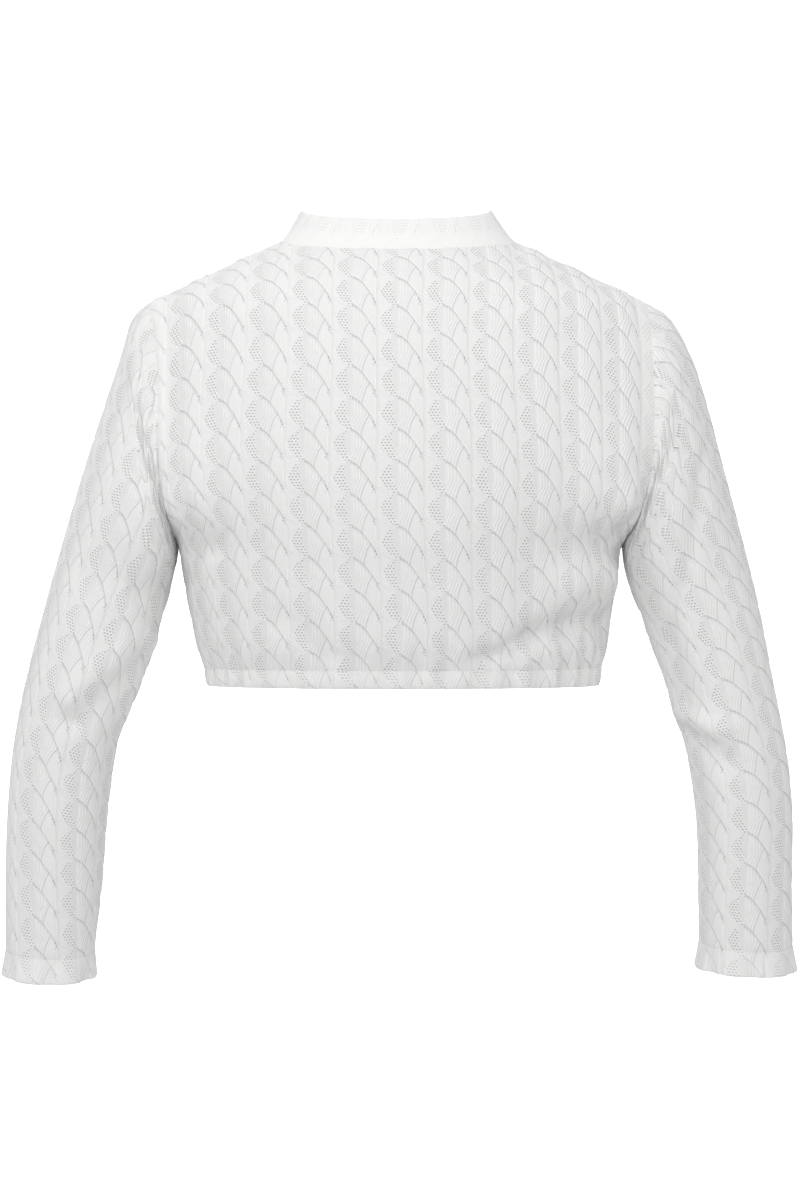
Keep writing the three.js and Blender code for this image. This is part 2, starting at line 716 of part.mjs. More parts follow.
function makeCuff(side) {
  const form = makeSleeveForm(side);
  const shares = spaced(0, 1, CUFF_ROUND).slice(0, -1);
  const ringAt = (drop, offset) => shares.map((share) => {
    const edge = form.plain(share, form.length);
    const above = form.plain(share, form.length - CUFF_SLOPE_STEP);
    const down = edge.clone().sub(above).normalize();
    const before = form.plain(share - ROUND_STEP, form.length);
    const round = form.plain(share + ROUND_STEP, form.length).sub(before);
    const out = down.clone().cross(round).normalize().multiplyScalar(form.turn);
    return { p: edge.addScaledVector(down, drop + SEAM_GAP).addScaledVector(out, offset), k: share };
  });
  const outer = CUFF_PROFILE.map((row) => ringAt(row.along, row.out));
  const inner = [CUFF_PROFILE[0], CUFF_PROFILE.at(-1)].map((row) => ringAt(row.along, row.into));
  return lacePiece(`cuff_hem_${side}`, wallFacing(outer, inner, true, form.turn > 0));
}

// The line round the hem or neck: from the right front's edge round the right side, the back
// and the left side to the left front's underlap, which sinks below the right front.
function roundLine(half, across) {
  const place = (panel, sink) => (s) => ({ panel, s, sunk: sink(s) });
  return [
    ...across(frontPanel, -half, BAND_HALF).reverse().map(place(frontPanel, level)),
    ...across(backPanel, -half, half).slice(1).map(place(backPanel, level)),
    ...across(frontPanel, -UNDERLAP_REACH, half).reverse().slice(1).map(place(frontPanel, underlapSink)),
  ];
}

function makeCasing() {
  const evenly = (_, s0, s1) => spaced(s0, s1, Math.round((s1 - s0) / (GATHER_SPACING / 4)));
  const places = roundLine(HALF_PANEL, evenly);
  const rowAt = (drop, offset) => places.map(({ panel, s, sunk }, i) => {
    const edge = panel.plain(s, 0);
    const out = new Vector3(edge.x / CASING_ELLIPSE.x ** 2, edge.y / CASING_ELLIPSE.y ** 2, 0).normalize();
    const point = panel.at(s, 0, 0, 0).addScaledVector(out, offset - CASING_LEAN * drop);
    point.z -= drop;
    point.y += sunk;
    return { p: point, k: i / (places.length - 1) };
  });
  const outer = CASING_PROFILE.map((row) => rowAt(row.along, row.out));
  const inner = [CASING_PROFILE[0], CASING_PROFILE.at(-1)].map((row) => rowAt(row.along, row.into));
  return lacePiece('hem_casing', wallFacing(outer, inner, false, false));
}

function makeCollar() {
  // The panels' own columns along the neckline, so that the collar's seam follows theirs.
  const alongNeck = (panel, s0, s1) => {
    const from = s0 === -NECK_COLUMN ? -HALF_PANEL : s0;
    const to = s1 === NECK_COLUMN ? HALF_PANEL : s1;
    return cableColumns(panel, from, to).map(({ s }) => s).filter((s) => Math.abs(s) <= NECK_COLUMN);
  };
  const places = roundLine(NECK_COLUMN, alongNeck);
  const rowAt = (up, offset) => places.map(({ panel, s, sunk }, i) => {
    const point = panel.plain(s, panel.neck.rise);
    const out = neckNormal(point).setZ(0).normalize();
    const share = up / COLLAR_HEIGHT;
    const ease = 1 - (1 - share) ** COLLAR_EASE;
    const toSide = (point.x - NECK_SHIFT) / NECK_HALF;
    point.addScaledVector(out, offset - COLLAR_LEAN * ease);
    point.x += COLLAR_TURN * share;
    point.y += sunk;
    point.z += up - COLLAR_SIDE_DIP * share * toSide ** 4;
    return { p: point, k: i / (places.length - 1) };
  });
  const outer = COLLAR_PROFILE.map((row) => rowAt(row.along, row.out));
  const inner = COLLAR_PROFILE.map((row) => rowAt(row.along, row.into));
  return lacePiece('collar_stand', wallFacing(outer, inner, false, true));
}

// The button band lies on the right front along the centre line.
function bandPoint(s, rise, height) {
  const point = frontPanel.at(s, rise, 0, 0);
  point.y -= SEAM_GAP + height;
  return point;
}

function makeBand() {
  const highest = FRONT_NECK.rise - BAND_ENDS.high;
  const rises = panelRises(FRONT_NECK.rise)
    .map(({ rise }) => MathUtils.clamp(rise, BAND_ENDS.low, highest));
  const columns = [-BAND_HALF, 0, BAND_HALF];
  const rowsAt = (height) => rises.map((rise) => columns.map((s) => (
    { p: bandPoint(s, rise, height), k: (s + BAND_HALF) / (2 * BAND_HALF) })));
  return lacePiece('button_band', wallFacing(rowsAt(BAND_WALL), rowsAt(0), false, false));
}

function makeButton(number, rise) {
  const profile = BUTTON_PROFILE.map(([x, y]) => new Vector2(x, y));
  const lathe = new LatheGeometry(profile, BUTTONS.sides);
  const button = new Mesh(lathe, new MeshStandardMaterial(BUTTON_FINISH));
  button.name = `button_${number}`;
  const up = bandPoint(0, rise + 1, BAND_WALL).sub(bandPoint(0, rise - 1, BAND_WALL)).normalize();
  const out = new Vector3(0, -up.z, up.y);
  button.position.copy(bandPoint(0, rise, BAND_WALL)).addScaledVector(out, SEAM_GAP);
  button.quaternion.setFromUnitVectors(new Vector3(0, 1, 0), out);
  return button;
}

const blouse = new Group();
blouse.add(makeBack());
blouse.add(...makeFronts());
blouse.add(makeSleeve('left'), makeSleeve('right'));
blouse.add(makeCuff('left'), makeCuff('right'));
blouse.add(makeCollar());
blouse.add(makeCasing());
blouse.add(makeBand());
spaced(BUTTONS.lowest, BUTTONS.highest, BUTTONS.count - 1)
  .forEach((rise, i) => blouse.add(makeButton(i + 1, rise)));

export default blouse;
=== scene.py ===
import math

import bpy
import numpy as np
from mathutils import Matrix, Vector


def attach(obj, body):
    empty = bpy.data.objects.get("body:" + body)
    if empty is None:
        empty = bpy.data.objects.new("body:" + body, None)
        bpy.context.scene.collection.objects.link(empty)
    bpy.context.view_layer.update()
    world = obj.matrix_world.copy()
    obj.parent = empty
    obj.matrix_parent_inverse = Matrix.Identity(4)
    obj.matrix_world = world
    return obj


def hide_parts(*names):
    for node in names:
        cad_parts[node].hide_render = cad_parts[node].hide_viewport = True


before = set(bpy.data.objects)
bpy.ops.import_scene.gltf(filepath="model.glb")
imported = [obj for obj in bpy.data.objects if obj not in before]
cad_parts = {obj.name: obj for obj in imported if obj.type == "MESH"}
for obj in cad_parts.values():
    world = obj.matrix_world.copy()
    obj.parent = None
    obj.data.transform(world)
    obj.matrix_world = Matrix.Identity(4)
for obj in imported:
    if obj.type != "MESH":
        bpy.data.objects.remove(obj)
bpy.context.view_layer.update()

# A dirndl blouse in raised cable lace, filled out as if worn. The tables are in millimetres,
# as its maker would measure them; +Z is up, +X the wearer's left and +Y the back.
MM = 0.001

# Body: half widths of each section on the wearer's left and right, its side and its middle
HALF_PANEL = 237.0      # cloth from the centre line to the side seam
CORE = 120.0            # the cloth that isn't gathered, from the centre line out
UNDERARM = 108.0        # rise of the armhole's lowest point over the hem
NECK_HALF = 92.0
NECK_COLUMN = 96.0      # cloth from the centre line to the neck point
NECK_POINT = {"y": 4.0, "z": -2.0}
NECK_SHIFT = 1.6        # the neck sits this far off the centre line
NECK_REACH = (82.0, 106.0)  # where the cloth's slope turns from the neckline's to the shoulder's
SHOULDER = {"left": 200.0, "right": 196.0, "y": 2.0, "drop": 51.8}
ARMHOLE = {"y": 2.0, "z": -148.0, "half_depth": 57.0, "half_height": 98.0}
# The spare cloth over each armpit
ARMPIT = {"x": 184.0, "y": 13.0, "z": -226.0, "width": 40.0, "height": 66.0, "swell": 23.0}
BACK_ROWS = (
    # rise, left, right, side y, side z, middle y, middle z, spread
    (0, 154.0, 158.8, 0, -345, 98, -346.5, 90),
    (20, 161.0, 164.5, 0, -327, 106, -327.5, 90),
    (48, 167.6, 168.2, 0, -300, 112, -300, 90),
    (86, 174.4, 173.4, 0, -262, 118, -262, 90),
    (108, 176.8, 176.2, 0, -246, 121, -246, 90),
    (126, 183.0, 187.0, 34, -228, 123, -228, 70),
    (162, 189.5, 197.0, 52, -190, 124, -190, 60),
    (210, 190.5, 200.5, 58, -140, 120, -140, 54),
    (252, 192.5, 199.5, 51, -95, 111, -93, 50),
    (302, 198.0, 197.0, 30, -60, 90, -40, 48),
)
BACK_NECK = {"rise": 351.0, "y": 62.0, "z": -12.0, "slope": 0.5}
FRONT_ROWS = (
    (0, 154.0, 158.8, 0, -345, -100, -346.5, 90),
    (20, 161.0, 164.5, 0, -327, -112, -327.5, 90),
    (48, 167.6, 168.2, 0, -300, -124, -300, 90),
    (86, 174.4, 173.4, 0, -262, -134, -262, 90),
    (108, 176.8, 176.2, 0, -246, -137, -246, 90),
    (126, 182.0, 184.0, -34, -228, -138, -230, 72),
    (162, 186.0, 190.0, -50, -190, -134, -198, 64),
    (206, 187.0, 193.0, -54, -140, -124, -156, 58),
    (240, 191.0, 195.0, -48, -95, -112, -122, 54),
    (284, 198.0, 196.0, -29, -60, -94, -89, 50),
)
FRONT_NECK = {"rise": 337.5, "y": -80.0, "z": -66.0, "slope": 0.75}

# Sleeves: outer and inner point of each section, its axis, half depth, tilt and belly
SLEEVE_ROWS = {
    "left": (
        (211, -62, 178.0, -253, 2, 57, 0, 5),
        (222, -92, 180.6, -267, 2, 56, 0, 5),
        (236, -135, 184.6, -283, 3, 54, 0, 3),
        (251, -183, 191.0, -306, 4, 52, 0, 1),
        (267, -238, 198.8, -333, 4, 49, 0, 0),
        (283, -295, 208.0, -359, 3, 47, 1, 0),
        (297, -347, 217.6, -381, 1, 45, 2, 0),
        (309, -403, 227.6, -408, -3, 43, 4, 0),
        (314.4, -455, 234.8, -458, -8, 41, 5, 0),
        (316.8, -515, 239.6, -515, -16, 39, 5, 0),
        (317.0, -571, 245.6, -572.5, -23, 37, 6, 0),
    ),
    "right": (
        (213, -62, 178.0, -253, 2, 57, 0, 14),
        (230, -90, 180.0, -267, 2, 56, 0, 11),
        (243.5, -130, 184.6, -281, 3, 54, 0, 7),
        (256, -178, 193.2, -302, 4, 52, 0, 3),
        (270.5, -233, 201.9, -329, 4, 49, 0, 0),
        (285.5, -292, 211.6, -355, 3, 47, 1, 0),
        (297, -347, 219.6, -381, 1, 45, 2, 0),
        (308, -403, 229.4, -408, -3, 43, 4, 0),
        (313.8, -455, 237.4, -458, -8, 41, 5, 0),
        (314.6, -515, 239.7, -515, -16, 39, 5, 0),
        (315.8, -568.5, 240.4, -565, -23, 37, 5, 0),
    ),
}

# Cloth
GRID = 2.0              # spacing of the shell's points
ROUND_POINTS = 160      # points round a sleeve
CRISP_ANGLE = 55.0      # edges sharper than this stay crisp
CLOTH = 0.8             # thickness of one layer of lace
SEAM_ROLL = 0.15        # how far an edge turns in at its seam
SEAM_REACH = 3.0        # how far from the seam it starts to turn
REPEAT_WIDTH = 36.0
REPEAT_HEIGHT = 25.4
COLUMN_START = 0.6
ROW_START = 192.0
COLUMN_STEP = 0.04      # each column starts this share of a repeat lower than the one before
CABLE_HEIGHT = 1.15
HEM_RELIEF = 0.35       # share of the cables' height that is left at the hem
RELIEF_EDGE = 5.0       # cables fade out over this distance from a seam
FOLD_EDGE = 26.0        # folds fade out over this distance from a seam
CLOSING = 0.5           # how far a sleeve's seam is drawn in
CLOSING_REACH = 2.5

# Folds: from (s, rise) to (s, rise), half width and height
BACK_FOLDS = (
    (-62, 6, -108, 29, 8.5, -7.5),
    (-108, 29, -150, 38, 12, -7.5),
    (-150, 38, -205, 42, 14, -7),
    (-140, 66, -200, 72, 20, 7.5),
    (52, 12, 96, 44, 13, -2.5),
    (-176, 112, -204, 94, 10, -3),
    (-202, 120, -226, 126, 6, -4),
    (-214, 140, -220, 150, 12, 3),
    (160, 104, 214, 78, 12, -2.5),
)
FRONT_FOLDS = (
    (60, 10, 132, 40, 12, -4),
    (140, 66, 200, 50, 16, 3),
    (-70, 14, -138, 36, 12, -3.5),
    (-150, 108, -214, 80, 12, -3),
)
# Share round from the underarm seam by the back, length below the shoulder
SLEEVE_FOLDS = {
    "left": (
        (0.02, 66, 0.155, 161, 10, -4),
        (0.06, 178, 0.25, 318, 13, 4.5),
        (0.07, 212, 0.23, 338, 12, -5.5),
        (0.20, 150, 0.32, 210, 14, -2),
        (0.70, 300, 0.93, 250, 14, -3.5),
        (0.72, 180, 0.94, 140, 14, -3),
    ),
    "right": (
        (0.04, 338, 0.19, 383, 12, -4.5),
        (0.08, 318, 0.20, 352, 13, 4),
        (0.10, 205, 0.13, 310, 17, -3.5),
        (0.12, 214, 0.34, 120, 14, -3),
        (0.72, 330, 0.95, 270, 14, -3.5),
        (0.70, 200, 0.92, 150, 14, -3),
    ),
}
SLEEVE_GIRTH = 264.0
SLEEVE_START = {"left": (-0.27, 0.5), "right": (-0.29, -0.12)}
SLEEVE_GRAIN = 0.12     # how far the columns slant out down the upper sleeve, to 1
SLEEVE_SLANT = 0.34     # how far its rows fall towards the body, to 1
SLANT_START = 150.0     # how far above the cuff the grain starts to slant
SLANT_FULL = 260.0
SLANT_PIVOT = 22.0      # how far in from the outer edge the rows keep their height

# Hem, front closing, collar and cuffs
GATHER_SPACING = 26.0
GATHER_DEPTH = 1.8
GATHER_FADE = 38.0
HEM_FADE = 14.0         # folds fade out over this rise to the hem
HEM_RELIEF_FADE = 20.0
CASING_HEIGHT = 13.0
LAP = 1.5               # how far a hem or cuff laps over the cloth that it is sewn to
BAND_HALF = 11.0
ALLOWANCE_START = 217.0  # the armhole's allowance shows through from here
ALLOWANCE_COVER = 0.8
ALLOWANCE_FOOT = 150.0   # and from this rise up
ALLOWANCE_FADE = 60.0
UNDERLAP_REACH = 9.0    # how far the left front runs on under the right one
UNDERLAP_START = 26.0   # where it starts to sink, and where it lies under
UNDERLAP_END = 14.0
UNDERLAP_DEPTH = 4.2
COLLAR_HEIGHT = 24.4
COLLAR_LEAN = 16.0
COLLAR_SIDE_RISE = 0.6
COLLAR_WALL = 1.5
COLLAR_START = 0.3      # the repeat's height at its seam
COLLAR_ROLL = 0.8       # how far its top edge turns in
COLLAR_PRESSED = 0.42   # its lower share, where four layers lie over each other
COLLAR_TURN = 1.6
CUFF_HEIGHT = 19.0
CUFF_FLARE = 3.6
CUFF_COVER = 0.3        # how far a second layer hides the pattern
CASING_COVER = 0.25
STRIP_STEP = 1.6        # spacing of points along casing and band
BAND_STEP = 2.5
BAND_RAISED = 1.9       # how far band and buttons lie over the front
BAND_WALL = 1.3
BUTTON_RAISED = 2.4
BUTTON_RISES = (26.0, 84.4, 142.8, 201.2, 259.6, 318.0)
BUTTON_RADIUS, BUTTON_DEPTH, BUTTON_BEVEL = 5.0, 2.0, 0.35
RIM, RIM_DISH, FACE_RIM, FACE_DISH = 1.3, 0.7, 1.2, 0.2


def smooth(x):
    c = np.clip(x, 0, 1)
    return c * c * (3 - 2 * c)


def blend(a, b, share):
    return a + (b - a) * share


def unit(v):
    return v / np.maximum(np.linalg.norm(v, axis=-1, keepdims=True), 1e-9)


def cubic(knots, points, at):
    """A cubic through the points of each column; the first and last point only give slopes."""
    knots = np.asarray(knots, float)
    before = (knots[1:-1] - knots[:-2])[:, None, None]
    after = (knots[2:] - knots[1:-1])[:, None, None]
    rise = (points[2:] - points[1:-1]) * before / after
    fall = (points[1:-1] - points[:-2]) * after / before
    slope = (rise + fall) / (before + after)
    inner = points[1:-1]
    k = np.clip(np.searchsorted(knots[1:-1], at, side="right") - 1, 0, len(inner) - 2)
    span = (knots[k + 2] - knots[k + 1])[:, None, None]
    f = ((at - knots[k + 1]))[:, None, None] / span
    return (
        inner[k] * (1 + 2 * f) * (1 - f) ** 2
        + slope[k] * f * (1 - f) ** 2 * span
        + inner[k + 1] * f * f * (3 - 2 * f)
        + slope[k + 1] * f * f * (f - 1) * span
    )


def by_length(curve, distance, samples=257):
    """Points of a curve over 0 to 1 at distances along it, and the curve's length."""
    u = np.linspace(0, 1, samples)
    steps = np.linalg.norm(np.diff(curve(u), axis=0), axis=1)
    marks = np.concatenate([[0], np.cumsum(steps)])
    return curve(np.interp(distance(marks[-1]), marks, u)), marks[-1]


def section_points(row, s):
    """One section of a body panel at the cloth positions s, from the centre line out."""
    _, left, right, side_y, side_z, mid_y, mid_z, spread = row
    angle = math.radians(spread)
    out = np.zeros((len(s), 3))
    for turn, half, chosen in ((1, left, s >= 0), (-1, right, s < 0)):
        if not chosen.any():
            continue
        away = np.abs(s[chosen])

        def curve(u, turn=turn, half=half):
            bulge = (np.cos(u * angle) - math.cos(angle)) / (1 - math.cos(angle))
            x = turn * half * np.sin(u * angle) / math.sin(angle)
            return np.stack([x, side_y + (mid_y - side_y) * bulge, blend(mid_z, side_z, u * u)], 1)

        def distance(length, away=away):
            squeezed = CORE + (away - CORE) * (length - CORE) / (HALF_PANEL - CORE)
            return np.where(away <= CORE, away, squeezed)

        out[chosen] = by_length(curve, distance)[0]
    return out


def top_points(neck, s):
    """The neckline and the shoulder seams."""
    away, turn = np.abs(s), np.sign(s)
    x = NECK_HALF * np.minimum(away, NECK_COLUMN) / NECK_COLUMN
    c = np.maximum(0, 1 - (x / NECK_HALF) ** 2)
    line = np.stack([
        turn * x + NECK_SHIFT,
        blend(NECK_POINT["y"], neck["y"], np.sqrt(c)),
        blend(NECK_POINT["z"], neck["z"], c ** neck["slope"]),
    ], 1)
    share = np.clip((away - NECK_COLUMN) / (HALF_PANEL - NECK_COLUMN), 0, 1)[:, None]
    reach = np.where(s >= 0, SHOULDER["left"], SHOULDER["right"])
    level = np.ones_like(s)
    start = np.stack([turn * NECK_HALF + NECK_SHIFT, level * NECK_POINT["y"], level * NECK_POINT["z"]], 1)
    end = np.stack([turn * reach, level * SHOULDER["y"], level * -SHOULDER["drop"]], 1)
    return np.where(away[:, None] <= NECK_COLUMN, line, blend(start, end, share))


def panel_points(rows, neck, facing, s, rise):
    """Points of a body panel, rises by columns."""
    controls = [section_points(row, s) for row in rows]
    top = top_points(neck, s)
    below = controls[-1]
    over = np.stack([top[:, 0], 2 * top[:, 1] - below[:, 1], below[:, 2]], 1)
    start, end = NECK_REACH
    share = smooth((np.abs(top[:, 0]) - start) / (end - start))[:, None]
    onward = blend(2 * top - below, over, share)
    points = np.array([2 * controls[0] - controls[1], *controls, top, onward])
    knots = [row[0] for row in rows]
    knots = [-knots[1], *knots, neck["rise"], 2 * neck["rise"] - knots[-1]]
    out = cubic(knots, points, rise)
    low = rise <= UNDERARM
    out[low, :, 1] = facing * np.maximum(facing * out[low, :, 1], 0)
    return out


def lengths(points, axis):
    """Cloth length along an axis of a grid of points, from its first row or column."""
    steps = np.linalg.norm(np.diff(points, axis=axis), axis=2)
    first = np.zeros_like(np.take(steps, [0], axis=axis))
    return np.concatenate([first, np.cumsum(steps, axis=axis)], axis=axis)


def widths(points):
    """Cloth width along each row of a grid of points, square to the columns, from the first."""
    grain = unit(np.gradient(points, axis=0))
    grain = (grain[:, 1:] + grain[:, :-1]) / 2
    steps = np.diff(points, axis=1)
    steps = steps - grain * np.sum(steps * grain, 2, keepdims=True)
    steps = np.linalg.norm(steps, axis=2)
    return np.concatenate([np.zeros_like(steps[:, :1]), np.cumsum(steps, axis=1)], axis=1)


def normals(points, outward):
    down, across = np.gradient(points, axis=0), np.gradient(points, axis=1)
    return unit(np.cross(down, across)) * outward


def armhole_in(points):
    """The way in from the armhole's seam, across its plane."""
    y = (points[..., 1] - ARMHOLE["y"]) / ARMHOLE["half_depth"] ** 2
    z = (points[..., 2] - ARMHOLE["z"]) / ARMHOLE["half_height"] ** 2
    return -unit(np.stack([np.zeros_like(y), y, z], -1))


def armpit_ease(points):
    """The spare cloth of body and sleeve that swells out over each armpit, behind and in front."""
    x, y, z = points[..., 0], points[..., 1], points[..., 2]
    aside = (np.abs(x) - ARMPIT["x"]) / ARMPIT["width"]
    above = (z - ARMPIT["z"]) / ARMPIT["height"]
    near = np.exp(-(aside ** 2) - above ** 2)
    eased = np.zeros_like(points)
    eased[..., 1] = ARMPIT["swell"] * near * np.clip(y / ARMPIT["y"], -1, 1)
    return eased


def drift(across, along):
    """How far the cloth's columns and rows wander, in millimetres."""
    sideways = 1.5 * np.sin(along / 61 + across / 90 + 1.0) + 0.9 * np.sin(along / 27 - across / 53)
    downward = 1.3 * np.sin(across / 47 + along / 80) + 0.7 * np.sin(across / 19 + along / 140 + 2.0)
    return sideways, downward


def folds_at(folds, s, rise, scale=1.0):
    total = np.zeros(np.broadcast(s, rise).shape)
    for s0, rise0, s1, rise1, width, height in folds:
        du, dv = (s1 - s0) * scale, rise1 - rise0
        u, v = (s - s0) * scale, rise - rise0
        share = np.clip((u * du + v * dv) / (du * du + dv * dv), 0, 1)
        apart = np.hypot(u - share * du, v - share * dv)
        total = total + height * np.exp(-((apart / width) ** 2))
    return total


def gathers_at(s, rise, facing):
    flat = 1 - smooth((np.abs(s) - BAND_HALF) / 12) if facing < 0 else 0
    phase = s / GATHER_SPACING + 0.13 * np.sin(s / 37) + 0.07 * np.sin(s / 13 + 1)
    return GATHER_DEPTH * np.cos(2 * np.pi * phase) * (1 - smooth(rise / GATHER_FADE)) * (1 - flat)


def cable_height(across, down):
    """Height of the lace's cables over its ground, from 0 to 1. Both counts are in repeats."""
    u = across % 1
    crossing = 0.92 * (np.minimum(u, 0.56) / 0.53) ** 1.35
    w = (down - crossing) % 1
    profile = smooth(u / 0.10) * smooth((0.57 - u) / 0.10)
    crown = 0.75 + 0.25 * np.sin(np.pi * np.clip(u / 0.57, 0, 1))
    strand = 0.25 + 0.75 * smooth(w / 0.30) * smooth((1 - w) / 0.10)
    return profile * crown * strand


def sheet_faces_in(mesh, points, outward):
    """Whether a sheet's faces look inwards, told by the vertex nearest the middle of its grid."""
    row, column = points.shape[0] // 2, points.shape[1] // 4
    spot = Vector(points[row, column] * MM)
    nearest = min(mesh.vertices, key=lambda v: (v.co - spot).length_squared)
    return nearest.normal.dot(Vector(outward[row, column])) < 0


def lay_sheet(name, points, cloth, layers, material, outward=None, thickness=CLOTH):
    """A grid of cloth laid on its points, with the count of repeats and its layers as UV maps.
    A single layer gets its wall on the inner side. A doubled strip is closed, so it has no way out
    given, and its ends are filled."""
    rows, columns = points.shape[:2]
    bpy.ops.object.select_all(action="DESELECT")
    bpy.ops.mesh.primitive_grid_add(x_subdivisions=columns - 1, y_subdivisions=rows - 1, size=1)
    piece = bpy.context.object
    piece.name = piece.data.name = name
    mesh = piece.data
    mesh.vertices.foreach_set("co", (points * MM).astype(np.float32).ravel())
    corner = np.zeros(len(mesh.loops), np.int32)
    mesh.loops.foreach_get("vertex_index", corner)
    for label, values in (("cloth", cloth), ("layers", layers)):
        uv = mesh.uv_layers.get(label) or mesh.uv_layers.new(name=label)
        uv.data.foreach_set("uv", values.reshape(-1, 2)[corner].astype(np.float32).ravel())
    for spare in [uv for uv in mesh.uv_layers if uv.name not in ("cloth", "layers")]:
        mesh.uv_layers.remove(spare)
    mesh.uv_layers["cloth"].active = True
    mesh.uv_layers["cloth"].active_render = True
    bpy.ops.object.mode_set(mode="EDIT")
    bpy.ops.mesh.select_all(action="SELECT")
    bpy.ops.mesh.remove_doubles(threshold=0.01 * MM)
    if outward is None:
        bpy.ops.mesh.fill_holes(sides=0)
    bpy.ops.mesh.select_all(action="SELECT")
    bpy.ops.mesh.normals_make_consistent(inside=False)
    bpy.ops.object.mode_set(mode="OBJECT")
    if outward is not None and sheet_faces_in(mesh, points, outward):
        bpy.ops.object.mode_set(mode="EDIT")
        bpy.ops.mesh.flip_normals()
        bpy.ops.object.mode_set(mode="OBJECT")
    if thickness:
        wall = piece.modifiers.new("wall", "SOLIDIFY")
        wall.thickness = thickness * MM
        wall.offset = -1
        wall.use_even_offset = False
        bpy.ops.object.modifier_apply(modifier="wall")
    bpy.ops.object.shade_smooth_by_angle(angle=math.radians(CRISP_ANGLE))
    mesh.materials.clear()
    mesh.materials.append(material)
    return piece


def linear(hex_colour):
    """An sRGB hex colour as linear light."""
    channels = [int(hex_colour[i:i + 2], 16) / 255 for i in (0, 2, 4)]
    return [c / 12.92 if c <= 0.04045 else ((c + 0.055) / 1.055) ** 2.4 for c in channels] + [1.0]


def add(tree, kind, settings, links):
    """Adds a node. A link is a number, a colour, a node, or a node with the number of its output."""
    node = tree.nodes.new(kind)
    for key, value in settings.items():
        if key == "curve":
            points = node.mapping.curves[0].points
            for x, y in value[1:-1]:
                points.new(x, y)
            points[0].location = value[0]
            points[len(points) - 1].location = value[-1]
            node.mapping.use_clip = False
            node.mapping.update()
        else:
            setattr(node, key, value)
    for socket, value in links.items() if isinstance(links, dict) else enumerate(links):
        if isinstance(value, tuple):
            tree.links.new(value[0].outputs[value[1]], node.inputs[socket])
        elif isinstance(value, bpy.types.Node):
            tree.links.new(value.outputs[0], node.inputs[socket])
        else:
            node.inputs[socket].default_value = value
    return node


def new_material(name):
    material = bpy.data.materials.new(name)
    material.use_nodes = True
    material.node_tree.nodes.clear()
    return material, material.node_tree


# One repeat of the lace, charted from left to right and from the top down, both from 0 to 1
CROSSING_LINE = [
    (0, 0), (0.11, 0.08), (0.23, 0.24), (0.335, 0.43), (0.437, 0.65), (0.505, 0.86), (0.54, 0.95),
    (1, 0.96),
]
CROSSING_WIDTH = [(0, 0.080), (0.08, 0.055), (0.25, 0.032), (0.42, 0.038), (0.50, 0.075), (1, 0.075)]
LEAF_BORDER = [
    (0, 0.37), (0.22, 0.378), (0.285, 0.375), (0.333, 0.335), (0.42, 0.283), (0.515, 0.24), (0.62, 0.21),
    (1, 0.20),
]
CRESCENT_OUTER = [
    (0, 0.93), (0.06, 0.865), (0.12, 0.80), (0.18, 0.745), (0.27, 0.69), (0.36, 0.65), (0.46, 0.632),
    (0.55, 0.645), (0.64, 0.675), (0.72, 0.71), (0.82, 0.775), (0.90, 0.84), (1, 0.93),
]
CRESCENT_INNER = [
    (0, 0.93), (0.12, 0.88), (0.27, 0.872), (0.40, 0.876), (0.55, 0.893), (0.70, 0.925), (0.80, 0.955),
    (0.90, 0.995), (1, 1.05),
]
RIB_PITCH = 0.072
SLENDER_PITCH = 0.056
EYELET_ROWS = 11.0
EYELET_COLUMNS = 13.0

# Kinds of node, and the sums that a maths node does
MATH = "ShaderNodeMath"
RANGE = "ShaderNodeMapRange"
CURVE = "ShaderNodeFloatCurve"
SEPARATE = "ShaderNodeSeparateXYZ"
UV_MAP = "ShaderNodeUVMap"
PLACE = "ShaderNodeTexCoord"
NOISE = "ShaderNodeTexNoise"
MIX = "ShaderNodeMix"
BUMP = "ShaderNodeBump"
SURFACE = "ShaderNodeBsdfPrincipled"
OUTPUT = "ShaderNodeOutputMaterial"
SOFT = {"interpolation_type": "SMOOTHSTEP"}
COLOURS = {"data_type": "RGBA"}
ADD = {"operation": "ADD"}
ADD_CLAMPED = {"operation": "ADD", "use_clamp": True}
SUBTRACT = {"operation": "SUBTRACT"}
MULTIPLY = {"operation": "MULTIPLY"}
MULTIPLY_ADD = {"operation": "MULTIPLY_ADD"}
DIVIDE = {"operation": "DIVIDE"}
ABSOLUTE = {"operation": "ABSOLUTE"}
MINIMUM = {"operation": "MINIMUM"}
MAXIMUM = {"operation": "MAXIMUM"}
FRACTION = {"operation": "FRACT"}
WHOLE = {"operation": "FLOOR"}
SINE = {"operation": "SINE"}
COSINE = {"operation": "COSINE"}


